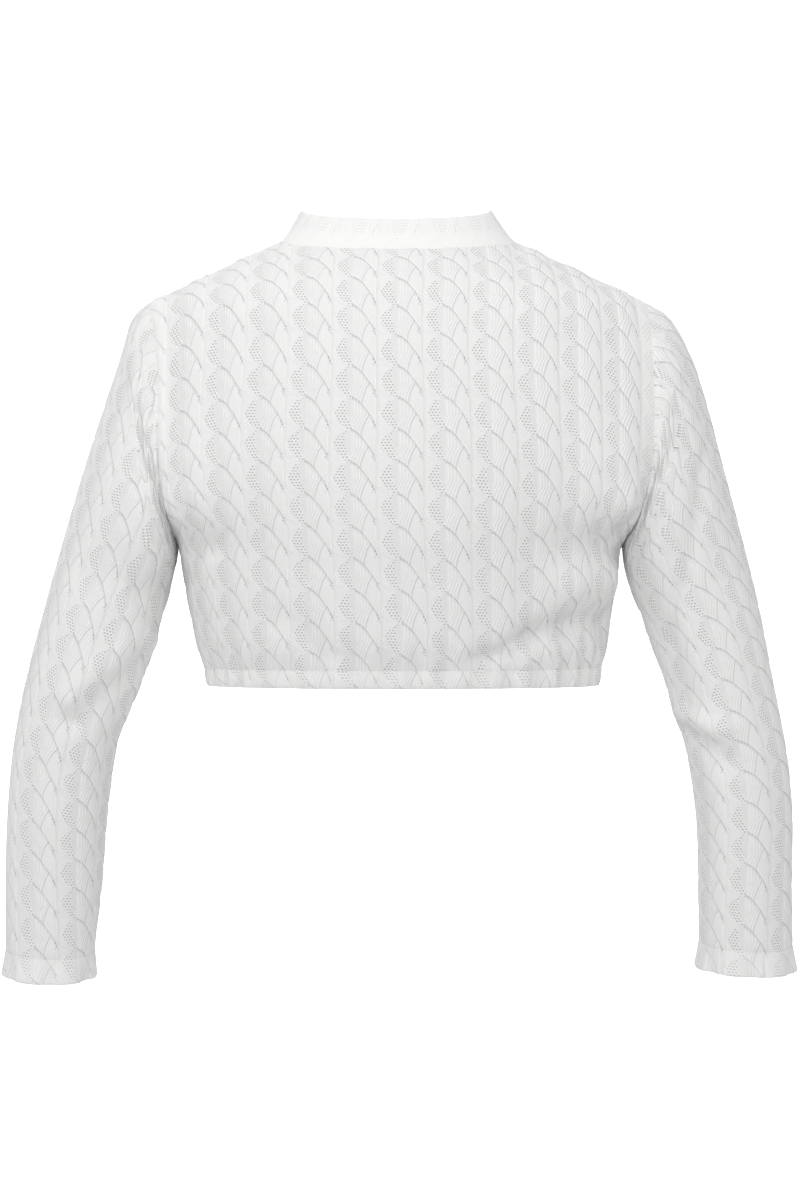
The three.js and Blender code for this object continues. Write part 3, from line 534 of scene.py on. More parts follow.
def crossing_marks(t, u, down):
    """The crossing line runs down across the cable: the line, the lit rim above it, the shade
    below it, the height of the line and how far below it each point lies."""
    crossing = add(t, CURVE, {"curve": CROSSING_LINE}, [1.0, u])
    below = add(t, MATH, FRACTION, [add(t, MATH, SUBTRACT, [down, crossing])])
    apart = add(t, MATH, MINIMUM, [below, add(t, MATH, SUBTRACT, [1.0, below])])
    apart = add(t, MATH, DIVIDE, [apart, add(t, CURVE, {"curve": CROSSING_WIDTH}, [1.0, u])])
    within = add(t, RANGE, SOFT, [u, 0.54, 0.52])
    line = add(t, MATH, MULTIPLY, [add(t, RANGE, SOFT, [apart, 1.0, 0.3]), within])
    stitches = add(t, MATH, SINE, [add(t, MATH, MULTIPLY, [u, 230.0])])
    line = add(t, MATH, MULTIPLY, [line, add(t, MATH, MULTIPLY_ADD, [stitches, 0.4, 0.6])])
    # A painted highlight on the rim just above the line, and painted shade just below it.
    rim = add(t, RANGE, SOFT, [below, 0.88, 0.93])
    rim = add(t, MATH, MULTIPLY, [rim, add(t, RANGE, SOFT, [below, 0.985, 0.955])])
    shade = add(t, RANGE, SOFT, [below, 0.16, 0.03])
    shade = add(t, MATH, MULTIPLY, [shade, add(t, RANGE, SOFT, [below, 0.02, 0.05])])
    return line, rim, shade, crossing, below


def leaf_marks(t, u, crossing, below, in_cable):
    """The ribs of the leaf's one half, the groove that parts it from the smooth half, and the light rib
    and the ditch along the cable's side. Groove and ditch are hollows in the bump, and their colour is
    darkened with painted shade."""
    level = add(t, MATH, MULTIPLY, [add(t, MATH, ADD, [below, crossing]), 0.5])
    beside = add(t, MATH, SUBTRACT, [u, add(t, CURVE, {"curve": LEAF_BORDER}, [1.0, level])])
    turns = add(t, MATH, MULTIPLY_ADD, [beside, 2 * math.pi / RIB_PITCH, math.pi])
    ribs = add(t, MATH, MULTIPLY_ADD, [add(t, MATH, COSINE, [turns]), 0.5, 0.5])
    ribs = add(t, MATH, MULTIPLY, [ribs, ribs])
    ribbed = add(t, MATH, MULTIPLY_ADD, [add(t, RANGE, SOFT, [beside, 0.01, -0.02]), 0.88, 0.12])
    ribbed = add(t, MATH, MULTIPLY, [ribbed, in_cable])
    between = add(t, MATH, MULTIPLY, [add(t, MATH, SUBTRACT, [1.0, ribs]), ribbed])
    ribs = add(t, MATH, MULTIPLY, [ribs, ribbed])
    # The groove: painted shade along the line between the ribbed and the smooth half.
    groove = add(t, RANGE, SOFT, [add(t, MATH, ABSOLUTE, [beside]), 0.024, 0.006])
    groove = add(t, MATH, MULTIPLY, [groove, add(t, RANGE, SOFT, [level, 0.24, 0.29])])
    groove = add(t, MATH, MULTIPLY, [groove, in_cable])
    last_rib = add(t, MATH, ABSOLUTE, [add(t, MATH, SUBTRACT, [u, 0.508])])
    last_rib = add(t, RANGE, SOFT, [last_rib, 0.026, 0.008])
    # The ditch beside the cable: painted shade of the recess.
    ditch = add(t, MATH, ABSOLUTE, [add(t, MATH, SUBTRACT, [u, 0.572])])
    ditch = add(t, RANGE, SOFT, [ditch, 0.035, 0.012])
    return ribs, between, groove, last_rib, ditch


def eyelet_marks(t, across, down):
    """Staggered eyelets: how far each point lies from the middle of its eyelet, in eyelets."""
    row = add(t, MATH, MULTIPLY, [down, EYELET_ROWS])
    shift = add(t, MATH, MULTIPLY, [add(t, MATH, WHOLE, [row]), 0.5])
    column = add(t, MATH, MULTIPLY_ADD, [across, EYELET_COLUMNS, shift])
    aside = add(t, MATH, SUBTRACT, [add(t, MATH, FRACTION, [column]), 0.5])
    above = add(t, MATH, SUBTRACT, [add(t, MATH, FRACTION, [row]), 0.5])
    aside = add(t, MATH, MULTIPLY, [add(t, MATH, ABSOLUTE, [aside]), 1.1])
    return add(t, MATH, ADD, [aside, add(t, MATH, ABSOLUTE, [above])])


def crescent_marks(t, u, across, down):
    """The crescent of eyelets, drawn dark with painted shade of the hollow inside, and its net, the
    slender ribs along its outer side, the recessed ground inside it, darkened with painted shade, and
    the dark arc over it."""
    place = add(t, MATH, FRACTION, [down])
    from_left = add(t, MATH, SUBTRACT, [u, add(t, CURVE, {"curve": CRESCENT_OUTER}, [1.0, place])])
    from_right = add(t, MATH, SUBTRACT, [u, add(t, CURVE, {"curve": CRESCENT_INNER}, [1.0, place])])
    crescent = add(t, RANGE, SOFT, [from_left, -0.005, 0.015])
    crescent = add(t, MATH, MULTIPLY, [crescent, add(t, RANGE, SOFT, [from_right, 0.01, -0.01])])
    ending = add(t, RANGE, SOFT, [u, 0.44, 0.47])
    ending = add(t, MATH, MULTIPLY, [ending, add(t, RANGE, SOFT, [u, 0.54, 0.51])])
    ending = add(t, MATH, MULTIPLY, [ending, add(t, RANGE, SOFT, [place, 0.68, 0.75])])
    ending = add(t, MATH, MULTIPLY, [ending, add(t, RANGE, SOFT, [place, 0.99, 0.92])])
    off = eyelet_marks(t, across, down)
    # The eyelets are not open: their dark is painted shade of the hollow inside, seen through them.
    eyelet = add(t, RANGE, SOFT, [off, 0.46, 0.14])
    eyelet = add(t, MATH, MULTIPLY, [eyelet, add(t, MATH, MAXIMUM, [crescent, ending])])
    net = add(t, MATH, MULTIPLY, [add(t, RANGE, SOFT, [off, 0.5, 0.64]), crescent])
    off_cable = add(t, RANGE, SOFT, [u, 0.55, 0.58])
    outside = add(t, RANGE, SOFT, [from_left, -0.02, -0.05])
    outside = add(t, MATH, MULTIPLY, [outside, add(t, RANGE, SOFT, [from_left, -0.20, -0.17])])
    outside = add(t, MATH, MULTIPLY, [outside, add(t, RANGE, SOFT, [u, 0.53, 0.56])])
    outside = add(t, MATH, MULTIPLY, [outside, add(t, RANGE, SOFT, [place, 0.42, 0.50])])
    slender = add(t, MATH, COSINE, [add(t, MATH, MULTIPLY, [from_left, 2 * math.pi / SLENDER_PITCH])])
    slender = add(t, MATH, MULTIPLY_ADD, [slender, 0.5, 0.5])
    slender = add(t, MATH, MULTIPLY, [add(t, MATH, MULTIPLY, [slender, slender]), outside])
    # The recessed sliver of ground beside the next cable, darkened with painted shade.
    shaded_sliver = add(t, RANGE, SOFT, [from_right, 0.0, 0.02])
    shaded_sliver = add(t, MATH, MULTIPLY, [shaded_sliver, add(t, RANGE, SOFT, [from_left, 0.0, 0.03])])
    shaded_sliver = add(t, MATH, MULTIPLY, [shaded_sliver, off_cable])
    arc = add(t, RANGE, SOFT, [add(t, MATH, ABSOLUTE, [from_left]), 0.03, 0.005])
    arc = add(t, MATH, MULTIPLY, [arc, add(t, RANGE, SOFT, [place, 0.30, 0.15])])
    arc = add(t, MATH, MULTIPLY, [arc, off_cable])
    return crescent, eyelet, net, slender, shaded_sliver, arc


def cable_lace(name, doubled_cover):
    """Openwork jacquard knit of fine matt white yarn. The eye sees crossing cables with slender
    light ribs, crescents of small dark eyelets between them, and paler bands where it is doubled.
    Light and shade are painted into its colour: a painted highlight on the rim above each crossing,
    painted shade below it, in the groove, the ditch and the recessed sliver, and in the eyelets."""
    material, t = new_material(name)
    count = add(t, SEPARATE, {}, [add(t, UV_MAP, {"uv_map": "cloth"}, [])])
    layer = add(t, SEPARATE, {}, [add(t, UV_MAP, {"uv_map": "layers"}, [])])
    across, down, doubled = (count, 0), (count, 1), (layer, 0)
    u = add(t, MATH, FRACTION, [across])
    in_cable = add(t, RANGE, SOFT, [u, 0.0, 0.03])
    in_cable = add(t, MATH, MULTIPLY, [in_cable, add(t, RANGE, SOFT, [u, 0.58, 0.55])])
    line, rim, shade, crossing, below = crossing_marks(t, u, down)
    rim = add(t, MATH, MULTIPLY, [rim, in_cable])
    shade = add(t, MATH, MULTIPLY, [shade, in_cable])
    ribs, between, groove, last_rib, ditch = leaf_marks(t, u, crossing, below, in_cable)
    crescent, eyelet, net, slender, shaded_sliver, arc = crescent_marks(t, u, across, down)
    yarn = add(t, NOISE, {}, {"Vector": (add(t, PLACE, {}, []), "Object"), "Scale": 700.0, "Detail": 2.0})

    # How much light the cloth gives back: little through an eyelet, most on a raised rib. The eyelets'
    # dark, the shade below each crossing, the groove, the ditch and the recessed sliver are painted shade,
    # and the rim above each crossing is a painted highlight.
    cover = add(t, MATH, MULTIPLY_ADD, [doubled, -doubled_cover, 1.0])
    tone = add(t, MATH, MULTIPLY_ADD, [yarn, 0.12, -0.06])
    for value, weight in (
        (ribs, 0.14), (between, -0.05), (slender, 0.22), (net, 0.18), (rim, 0.08), (line, -0.36),
        (eyelet, -0.42), (shade, -0.05),
        (groove, -0.12), (shaded_sliver, -0.09), (arc, -0.06), (last_rib, 0.10), (ditch, -0.05), (crescent, -0.02),
    ):
        tone = add(t, MATH, MULTIPLY_ADD, [value, weight, tone])
    tone = add(t, MATH, MULTIPLY, [tone, cover])
    tone = add(t, MATH, MULTIPLY_ADD, [doubled, 0.10, tone])
    tone = add(t, MATH, ADD_CLAMPED, [tone, 0.80])
    colour = add(t, MIX, COLOURS, {0: tone, 6: linear("a4a4a6"), 7: linear("f8f8f7")})

    height = add(t, MATH, MULTIPLY, [yarn, 0.15])
    for value, weight in (
        (ribs, 0.5), (slender, 0.4), (net, 0.3), (line, -0.6), (eyelet, -0.7), (groove, -0.35),
        (last_rib, 0.4), (ditch, -0.2),
    ):
        height = add(t, MATH, MULTIPLY_ADD, [value, weight, height])
    height = add(t, MATH, MULTIPLY, [height, cover])
    bump = add(t, BUMP, {}, {"Strength": 0.8, "Distance": 0.0007, "Height": height})
    shader = add(t, SURFACE, {}, {
        "Base Color": (colour, 2), "Roughness": 0.85, "Specular IOR Level": 0.25, "Sheen Weight": 0.1,
        "Sheen Roughness": 0.5, "Normal": bump,
    })
    add(t, OUTPUT, {}, [shader])
    return material


def button_plastic():
    """Moulded polyester button: smooth, off-white, a soft gloss with a faint cloud in it."""
    material, t = new_material("moulded_polyester")
    cloud = add(t, NOISE, {}, {"Vector": (add(t, PLACE, {}, []), "Object"), "Scale": 260.0})
    colour = add(t, MIX, COLOURS, {0: cloud, 6: linear("f0efeb"), 7: linear("dfddd7")})
    shader = add(t, SURFACE, {}, {"Base Color": (colour, 2), "Roughness": 0.28, "IOR": 1.52})
    add(t, OUTPUT, {}, [shader])
    return material


def studio_white(name, hex_colour):
    """Seamless paper: matt, with the slightest grain."""
    material, t = new_material(name)
    grain = add(t, NOISE, {}, {"Vector": (add(t, PLACE, {}, []), "Object"), "Scale": 400.0})
    bump = add(t, BUMP, {}, {"Strength": 0.02, "Distance": 0.0005, "Height": grain})
    shader = add(t, SURFACE, {}, {"Base Color": linear(hex_colour), "Roughness": 0.95, "Normal": bump})
    add(t, OUTPUT, {}, [shader])
    return material


# Camera and studio, in metres: the photograph is taken level, from behind, at its own centre.
SENSOR_MM = 36
VIEW_HEIGHT = 0.960
CAMERA_AWAY = 4.0
CAMERA_Z = -0.2896
CAMERA_CLIP = 50
FLOOR_Z = -2.5
FLOOR_REACH = 9.0
WALL_TOP = 5.0
BEND = 1.5
BEND_STEPS = 12
DAYLIGHT = 0.56
LIGHTS = (
    # name, place, what it is aimed at, size, power in watts
    ("key", (2.2, 2.2, 2.6), (0, 0, -0.25), 2.2, 52),
    ("fill", (-2.0, 2.3, 2.3), (0, 0, -0.25), 2.5, 28),
    ("behind_camera", (0.2, 4.6, 1.2), (0, 0, -0.25), 1.6, 33),
    ("front_fill", (0.5, -2.0, 1.4), (0, 0, -0.25), 2.0, 10),
    ("backdrop_light", (0, -6.5, 3.2), (0, -10.5, 0.2), 4.0, 650),
)


def place_camera():
    bpy.ops.object.camera_add(location=(0, CAMERA_AWAY, CAMERA_Z), rotation=(math.pi / 2, 0, math.pi))
    camera = bpy.context.object
    camera.data.sensor_width = SENSOR_MM
    camera.data.lens = SENSOR_MM * CAMERA_AWAY / VIEW_HEIGHT
    camera.data.clip_end = CAMERA_CLIP
    bpy.context.scene.camera = camera


def place_sweep():
    """A pale floor that curves up into the backdrop."""
    arc = [(-FLOOR_REACH - BEND * math.sin(a), FLOOR_Z + BEND * (1 - math.cos(a)))
           for a in np.linspace(0, math.pi / 2, BEND_STEPS)]
    profile = [(FLOOR_REACH, FLOOR_Z), *arc, (-FLOOR_REACH - BEND, WALL_TOP)]
    bpy.ops.object.select_all(action="DESELECT")
    bpy.ops.mesh.primitive_grid_add(x_subdivisions=1, y_subdivisions=len(profile) - 1, size=1)
    sweep = bpy.context.object
    sweep.name = "studio_sweep"
    for i, v in enumerate(sweep.data.vertices):
        y, z = profile[i // 2]
        v.co = ((-FLOOR_REACH if i % 2 == 0 else FLOOR_REACH), y, z)
    bpy.ops.object.shade_smooth()
    sweep.data.materials.append(studio_white("seamless_paper", "f0f0f0"))


def place_lights():
    """Soft daylight all round and large soft lights."""
    world = bpy.data.worlds.new("soft_daylight")
    world.use_nodes = True
    world.node_tree.nodes["Background"].inputs[0].default_value = (1, 1, 1, 1)
    world.node_tree.nodes["Background"].inputs[1].default_value = DAYLIGHT
    bpy.context.scene.world = world
    for name, place, target, size, power in LIGHTS:
        bpy.ops.object.light_add(type="AREA", location=place)
        light = bpy.context.object
        light.name = name
        light.data.size = size
        light.data.energy = power
        aim = Vector(target) - Vector(place)
        light.rotation_euler = aim.to_track_quat("-Z", "Y").to_euler()
    bpy.context.scene.view_settings.view_transform = "Standard"
    bpy.context.scene.view_settings.look = "None"


def spread(start, end, step):
    return np.linspace(start, end, max(2, int(round(abs(end - start) / step)) + 1))


def underlap(s):
    return UNDERLAP_DEPTH * (1 - smooth((s - UNDERLAP_END) / (UNDERLAP_START - UNDERLAP_END)))


def body_cloth(rows, neck, facing, s, rise, folds):
    """A body panel's points with folds, gathers and cables, its count of repeats, its places across
    and up the cloth, and its way out.
    """
    plain = panel_points(rows, neck, facing, s, rise)
    outward = normals(plain, facing)
    along = lengths(plain, 0)
    sections = np.array([np.interp(0, s, c) for c in lengths(plain, 1)])[:, None]
    real = lengths(plain, 1) - sections
    nominal = np.broadcast_to(s, real.shape)
    hold = np.searchsorted(rise, rows[-1][0])
    across = blend(nominal, real, smooth((rise - UNDERARM) / 40)[:, None])
    across[hold:] = across[hold]
    sideways, downward = drift(across, along)
    repeats_across = -facing * (across - COLUMN_START + sideways) / REPEAT_WIDTH
    repeats_down = (ROW_START - along + downward) / REPEAT_HEIGHT - COLUMN_STEP * repeats_across
    grid_rise = np.broadcast_to(rise[:, None], real.shape)
    edge = np.minimum(HALF_PANEL - np.abs(nominal), neck["rise"] - grid_rise)
    fade = smooth(edge / FOLD_EDGE)
    form = folds_at(folds, nominal, grid_rise) * fade * smooth(grid_rise / HEM_FADE)
    form = form + gathers_at(nominal, grid_rise, facing)
    relief = CABLE_HEIGHT * cable_height(repeats_across, repeats_down) * smooth(edge / RELIEF_EDGE)
    relief = relief * blend(HEM_RELIEF, 1, smooth(grid_rise / HEM_RELIEF_FADE))
    flat = 1 - smooth((np.abs(nominal) - BAND_HALF - 2) / 6) if facing < 0 else 0
    at_side = SEAM_ROLL * (1 - smooth((HALF_PANEL - np.abs(nominal)) / SEAM_REACH))[..., None]
    at_top = SEAM_ROLL * (1 - smooth((neck["rise"] - grid_rise) / SEAM_REACH))[..., None]
    inward = np.sign(nominal)[..., None] * np.array([-1.0, 0, 0])
    side_way = np.where((grid_rise >= UNDERARM)[..., None], armhole_in(plain), inward)
    points = plain + outward * (form + relief * (1 - flat))[..., None]
    points = points + side_way * at_side + np.array([0, 0, -1.0]) * at_top + armpit_ease(plain)
    return points, np.stack([repeats_across, repeats_down], 2), nominal, grid_rise, outward


def allowance_layers(nominal, grid_rise):
    """How much of the armhole's seam allowance lies under each point of a body panel."""
    cover = ALLOWANCE_COVER * smooth((np.abs(nominal) - ALLOWANCE_START) / 6)
    cover = cover * smooth((grid_rise - ALLOWANCE_FOOT) / ALLOWANCE_FADE)
    return np.stack([cover, np.zeros_like(cover)], 2)


def make_back(material):
    s = spread(-HALF_PANEL, HALF_PANEL, GRID)
    rise = spread(0, BACK_NECK["rise"], GRID)
    points, cloth, nominal, grid_rise, outward = body_cloth(BACK_ROWS, BACK_NECK, 1, s, rise, BACK_FOLDS)
    layers = allowance_layers(nominal, grid_rise)
    piece = lay_sheet("back_cloth", points, cloth, layers, material, outward)
    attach(piece, "root")
    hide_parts("back")
    return piece


def make_front(side, material):
    ends = (-HALF_PANEL, BAND_HALF) if side == "right" else (-UNDERLAP_REACH, HALF_PANEL)
    s = spread(*ends, GRID)
    rise = spread(0, FRONT_NECK["rise"], GRID)
    laid = body_cloth(FRONT_ROWS, FRONT_NECK, -1, s, rise, FRONT_FOLDS)
    points, cloth, nominal, grid_rise, outward = laid
    if side == "left":
        points[..., 1] += underlap(nominal)
    layers = allowance_layers(nominal, grid_rise)
    piece = lay_sheet(f"front_{side}_cloth", points, cloth, layers, material, outward)
    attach(piece, "root")
    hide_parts(f"front_{side}")
    return piece


def armhole_seam(turn):
    """The seam from the underarm up the back and down the front, and the share along it."""
    edge = np.array([turn * HALF_PANEL])
    back = panel_points(BACK_ROWS, BACK_NECK, 1, edge, spread(UNDERARM, BACK_NECK["rise"], 3))[:, 0]
    front = panel_points(FRONT_ROWS, FRONT_NECK, -1, edge, spread(UNDERARM, FRONT_NECK["rise"], 3))[:, 0]
    seam = np.concatenate([back, front[-2::-1]])
    steps = np.linalg.norm(np.diff(seam, axis=0), axis=1)
    marks = np.concatenate([[0], np.cumsum(steps)])
    return seam, marks / marks[-1]


def ring_curve(row, turn):
    outer_x, outer_z, inner_x, inner_z, axis_y, depth, tilt, belly = row

    def curve(share):
        angle = 2 * np.pi * share
        middle = np.array([turn * (outer_x + inner_x) / 2, axis_y, (outer_z + inner_z) / 2])
        inner = np.array([turn * (inner_x - outer_x) / 2, 0, (inner_z - outer_z) / 2])
        point = middle + np.cos(angle)[:, None] * inner
        point[:, 0] += turn * belly * np.sin(angle) ** 2
        point[:, 1] += depth * np.sin(angle)
        point[:, 2] -= tilt * np.sin(angle)
        return point
    return curve


def sleeve_points(side, share, down_at):
    """Points of a sleeve, lengths below the shoulder by shares round from the underarm seam."""
    turn = 1 if side == "left" else -1
    seam, marks = armhole_seam(turn)

    def seam_at(f):
        return np.stack([np.interp(f, marks, seam[:, i]) for i in range(3)], 1)

    curves = [ring_curve(row, turn) for row in SLEEVE_ROWS[side]]
    half = np.array([0.5])
    rings = [seam_at(share)] + [by_length(c, lambda length: share * length)[0] for c in curves]
    outer = [seam_at(half)] + [by_length(c, lambda length: half * length)[0] for c in curves]
    steps = np.linalg.norm(np.diff(np.array(outer)[:, 0], axis=0), axis=1)
    knots = np.concatenate([[0], np.cumsum(steps)])
    length = knots[-1]
    points = np.array([2 * rings[0] - rings[1], *rings, 2 * rings[-1] - rings[-2]])
    knots = [-knots[1], *knots, 2 * length - knots[-2]]
    return cubic(knots, points, down_at(length)), length, turn


def sleeve_cloth(side):
    """A sleeve's points with folds and cables, its count of repeats, and its turn."""
    share = np.linspace(0, 1, ROUND_POINTS)
    points, length, turn = sleeve_points(side, share, lambda length: spread(0, length, GRID))
    down = np.linspace(0, length, len(points))
    outward = normals(points, -turn)
    along = lengths(points, 0)
    from_cuff = along[-1:] - along
    round_it = widths(points)
    middle = np.array([np.interp(0.5, share, r) for r in round_it])[:, None]
    sideways, downward = drift(round_it - middle, from_cuff)
    start_across, start_down = SLEEVE_START[side]
    slanted = turn * SLEEVE_GRAIN * np.maximum(0, from_cuff - SLANT_START)
    repeats_across = (-turn * (round_it - middle + sideways) - slanted) / REPEAT_WIDTH + start_across
    inwards = turn * (points[:, len(share) // 2, :1] - points[..., 0])
    fallen = SLEEVE_SLANT * (inwards - SLANT_PIVOT) * smooth(from_cuff / SLANT_FULL)
    repeats_down = (downward - from_cuff - fallen) / REPEAT_HEIGHT + start_down
    repeats_down = repeats_down - COLUMN_STEP * repeats_across
    grid_share, grid_down = np.meshgrid(share, down)
    fade = smooth(grid_down / FOLD_EDGE) * smooth((length - grid_down) / FOLD_EDGE)
    at_seam = np.minimum(grid_share, 1 - grid_share) * SLEEVE_GIRTH
    seam_fade = smooth(at_seam / 18 + smooth((grid_down - 60) / 60))
    form = folds_at(SLEEVE_FOLDS[side], grid_share, grid_down, SLEEVE_GIRTH) * fade * seam_fade
    edge = np.minimum(grid_down, length - grid_down)
    relief = CABLE_HEIGHT * cable_height(repeats_across, repeats_down) * smooth(edge / RELIEF_EDGE)
    relief = relief * smooth(at_seam / 4) * seam_fade
    rolled = SEAM_ROLL * (1 - smooth(grid_down / SEAM_REACH))[..., None]
    closing = -CLOSING * (1 - smooth(at_seam / CLOSING_REACH))
    swelled = armpit_ease(points) + armhole_in(points[:1]) * rolled
    points = points + outward * (form + relief + closing)[..., None] + swelled
    points[:, -1] = points[:, 0]
    return points, np.stack([repeats_across, repeats_down], 2), outward, turn


def make_sleeve(side, material):
    points, cloth, outward, _ = sleeve_cloth(side)
    piece = lay_sheet(f"sleeve_{side}_cloth", points, cloth, np.zeros_like(cloth), material, outward)
    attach(piece, "root")
    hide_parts(f"sleeve_{side}")
    return piece


def neck_out(point):
    middle = (BACK_NECK["y"] + FRONT_NECK["y"]) / 2
    depth = (BACK_NECK["y"] - FRONT_NECK["y"]) / 2
    across = (point[:, 0] - NECK_SHIFT) / NECK_HALF ** 2
    along = (point[:, 1] - middle) / depth ** 2
    return unit(np.stack([across, along, np.zeros(len(point))], 1))


def round_places(half, step):
    """Places from the right front's edge round the back to the left front's underlap."""
    right = spread(BAND_HALF, -half, step)
    back = spread(-half, half, step)[1:]
    left = spread(half, -UNDERLAP_REACH, step)[1:]
    panel = np.concatenate([np.full(len(right), -1), np.full(len(back), 1), np.full(len(left), -1)])
    under = np.concatenate([np.zeros(len(right) + len(back)), np.ones(len(left))])
    return np.concatenate([right, back, left]), panel, under


def make_collar(material):
    s, panel, under = round_places(NECK_COLUMN, GRID)
    base = np.where(panel[:, None] > 0, top_points(BACK_NECK, s), top_points(FRONT_NECK, s))
    out = neck_out(base)
    base[:, 1] += under * underlap(s)
    rows = []
    outer = [(t, 0.0) for t in np.linspace(0, 1, 14)]
    inner = [(t, 1.0) for t in np.linspace(1, 0, 10)]
    for t, inside in outer + inner:
        ease = 1 - (1 - t) ** 1.2
        swell = 0.7 * math.sin(math.pi * min(1, t * 1.02)) - COLLAR_ROLL * smooth((t - 0.9) / 0.1)
        swell += 1.2 * (1 - smooth(t / 0.3))
        offset = swell - COLLAR_LEAN * ease - inside * (COLLAR_WALL - 1.2 * smooth((t - 0.88) / 0.12))
        to_side = (base[:, 0] - NECK_SHIFT) / NECK_HALF
        row = base + out * offset
        row[:, 0] += COLLAR_TURN * t
        row[:, 2] += COLLAR_HEIGHT * t - 1.2 * (1 - t) + COLLAR_SIDE_RISE * t * to_side ** 4
        rows.append(row)
    rows.append(rows[0])
    points = np.array(rows)
    steps = np.concatenate([[0], np.cumsum(np.linalg.norm(np.diff(base, axis=0), axis=1))])
    ups = np.array([t for t, _ in outer + inner] + [0.0]) * COLLAR_HEIGHT
    across, down = steps[None, :] / REPEAT_WIDTH, COLLAR_START - ups[:, None] / REPEAT_HEIGHT
    cloth = np.stack(np.broadcast_arrays(across, down), 2)
    allowance = 0.7 + 0.3 * (1 - smooth((ups - COLLAR_PRESSED * COLLAR_HEIGHT) / 3))
    layers = np.stack(np.broadcast_arrays(allowance[:, None], 0 * steps[None, :]), 2)
    piece = lay_sheet("collar_cloth", points, cloth, layers, material, thickness=0)
    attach(piece, "root")
    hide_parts("collar_stand")
    return piece


def make_casing(material):
    s, panel, under = round_places(HALF_PANEL, STRIP_STEP)
    zero = np.array([0.0])
    base = np.where(
        panel[:, None] > 0,
        panel_points(BACK_ROWS, BACK_NECK, 1, s, zero)[0],
        panel_points(FRONT_ROWS, FRONT_NECK, -1, s, zero)[0],
    )
    out = unit(base * np.array([1 / 160 ** 2, 1 / 100 ** 2, 0]))
    gather = np.where(panel > 0, gathers_at(s, 0, 1), gathers_at(s, 0, -1))
    crimp = 0.5 * np.sin(s * 0.9 + 2 * np.sin(s / 17)) * np.sin(s / 9 + 1)
    base[:, 1] += under * underlap(s)
    rows = []
    places = [(d, 0) for d in np.linspace(-LAP, CASING_HEIGHT, 10)]
    places += [(d, 1) for d in np.linspace(CASING_HEIGHT, 0, 7)]
    for drop, inside in places:
        t = drop / CASING_HEIGHT
        swell = 0.9 + 0.5 * math.sin(math.pi * max(0, t)) - 0.6 * smooth((t - 0.85) / 0.15)
        offset = swell * (1 - inside) - inside * (1.6 + 0.4 * math.sin(math.pi * t)) - 0.16 * drop
        row = base + out * (offset + gather + crimp * (0.4 + 0.6 * t) * (1 - inside))[:, None]
        row[:, 2] -= drop
        rows.append(row)
    rows.append(rows[0])
    points = np.array(rows)
    around = np.concatenate([[0], np.cumsum(np.abs(np.diff(s)))])
    behind = around[len(around) // 2]
    across = (COLUMN_START + behind - around[None, :]) / REPEAT_WIDTH
    drops = np.array([d for d, _ in places] + [0.0])[:, None]
    down = (ROW_START + drops) / REPEAT_HEIGHT - COLUMN_STEP * across
    cloth = np.stack(np.broadcast_arrays(across, down), 2)
    layers = CASING_COVER * np.ones_like(cloth)
    piece = lay_sheet("hem_casing_cloth", points, cloth, layers, material, thickness=0)
    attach(piece, "root")
    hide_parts("hem_casing")
    return piece


def make_cuff(side, material):
    points, sleeve_count, _, turn = sleeve_cloth(side)
    edge = points[-1]
    down = unit(points[-1] - points[-4])
    around = np.gradient(edge, axis=0)
    around[0] = around[-1] = edge[1] - edge[-2]
    out = unit(np.cross(down, around)) * -turn
    rows = []
    places = [(d, 0) for d in np.linspace(-LAP, CUFF_HEIGHT - 1, 12)] + [(CUFF_HEIGHT, 0)]
    places += [(d, 1) for d in np.linspace(CUFF_HEIGHT, 0, 8)]
    for drop, inside in places:
        t = drop / CUFF_HEIGHT
        flare = 0.5 + CUFF_FLARE * t - 0.5 * smooth((t - 0.94) / 0.06)
        offset = flare - inside * (1.8 - 0.8 * smooth((t - 0.9) / 0.1))
        rows.append(edge + down * drop + out * offset)
    rows.append(rows[0])
    points = np.array(rows)
    points[:, -1] = points[:, 0]
    drops = np.array([d for d, _ in places] + [0.0])[:, None]
    across, last_down = sleeve_count[-1, :, 0], sleeve_count[-1, :, 1]
    cloth = np.stack(np.broadcast_arrays(across[None, :], last_down[None, :] + drops / REPEAT_HEIGHT), 2)
    layers = np.stack(np.broadcast_arrays(CUFF_COVER + 0 * drops, 0 * across[None, :]), 2)
    piece = lay_sheet(f"cuff_{side}_cloth", points, cloth, layers, material, thickness=0)
    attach(piece, "root")
    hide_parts(f"cuff_hem_{side}")
    return piece


def band_points(s, rise, height):
    plain = panel_points(FRONT_ROWS, FRONT_NECK, -1, s, rise)
    plain[..., 1] -= height
    return plain


def make_band(material):
    s = spread(-BAND_HALF, BAND_HALF, STRIP_STEP)
    rise = spread(1, FRONT_NECK["rise"] - 6, BAND_STEP)
    points = band_points(s, rise, BAND_RAISED)
    steps = lengths(points, 0)
    cloth = np.stack([np.broadcast_to(s / REPEAT_WIDTH, steps.shape), -steps / REPEAT_HEIGHT], 2)
    outward = normals(points, -1)
    piece = lay_sheet("button_band_cloth", points, cloth, np.ones_like(cloth), material, outward, BAND_WALL)
    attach(piece, "root")
    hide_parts("button_band")
    return piece


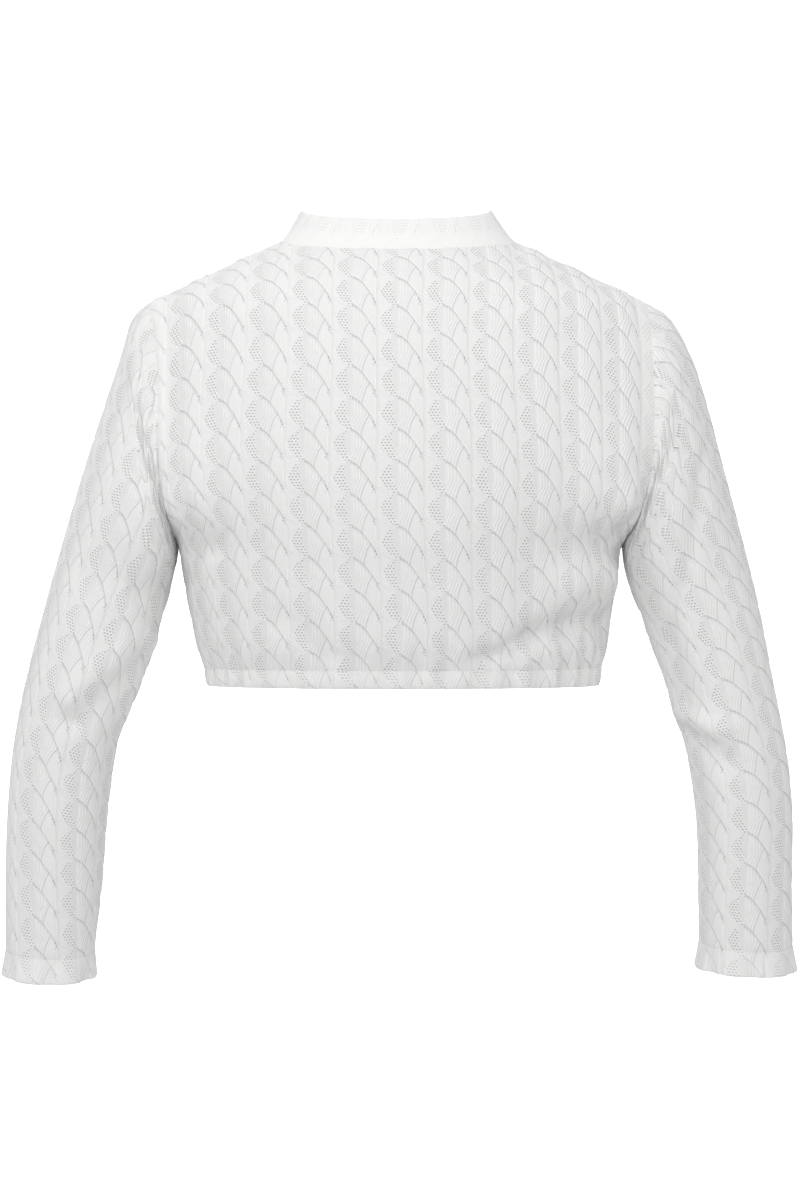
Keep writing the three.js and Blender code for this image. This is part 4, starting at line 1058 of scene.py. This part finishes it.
def button_pattern():
    """One button, face up at the origin, with a raised rim and a dished face."""
    bpy.ops.object.select_all(action="DESELECT")
    bpy.ops.mesh.primitive_cylinder_add(
        vertices=32, radius=BUTTON_RADIUS * MM, depth=BUTTON_DEPTH * MM,
        location=(0, 0, BUTTON_DEPTH / 2 * MM),
    )
    disc = bpy.context.object
    bpy.ops.object.transform_apply(location=True, rotation=False, scale=False)
    bpy.ops.object.mode_set(mode="EDIT")
    bpy.ops.mesh.select_mode(type="FACE")
    bpy.ops.mesh.select_all(action="DESELECT")
    bpy.ops.object.mode_set(mode="OBJECT")
    for face in disc.data.polygons:
        face.select = face.normal.z > 0.9
    bpy.ops.object.mode_set(mode="EDIT")
    bpy.ops.mesh.inset(thickness=RIM * MM)
    bpy.ops.transform.translate(value=(0, 0, -RIM_DISH * MM))
    bpy.ops.mesh.inset(thickness=FACE_RIM * MM)
    bpy.ops.transform.translate(value=(0, 0, -FACE_DISH * MM))
    bpy.ops.object.mode_set(mode="OBJECT")
    bevel = disc.modifiers.new("soft_edges", "BEVEL")
    bevel.width = BUTTON_BEVEL * MM
    bevel.segments = 2
    bpy.ops.object.modifier_apply(modifier="soft_edges")
    bpy.ops.object.shade_smooth_by_angle(angle=math.radians(40))
    return disc


def make_buttons(material):
    """Copies of one button, each turned to face out of the band at its place."""
    piece = button_pattern()
    pattern = piece.data.copy()
    for number, rise in enumerate(BUTTON_RISES):
        if number:
            piece = bpy.data.objects.new("button", pattern.copy())
            bpy.context.collection.objects.link(piece)
        around = np.array([rise - 4, rise, rise + 4])
        seat = band_points(np.array([0.0]), around, BUTTON_RAISED)[:, 0] * MM
        up = unit(seat[2] - seat[0])
        turn = Vector((0, 0, 1)).rotation_difference(Vector((0, -up[2], up[1]))).to_matrix().to_4x4()
        turn.translation = Vector(seat[1])
        piece.data.transform(turn)
        piece.name = piece.data.name = f"button_{number + 1}_disc"
        piece.data.materials.clear()
        piece.data.materials.append(material)
        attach(piece, "root")
        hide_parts(f"button_{number + 1}")


place_camera()
place_sweep()
place_lights()
lace = cable_lace("cable_lace", 0.6)
doubled = cable_lace("doubled_lace", 0.85)
make_back(lace)
make_front("right", lace)
make_front("left", lace)
make_sleeve("left", lace)
make_sleeve("right", lace)
make_collar(doubled)
make_casing(doubled)
make_cuff("left", doubled)
make_cuff("right", doubled)
make_band(doubled)
make_buttons(button_plastic())
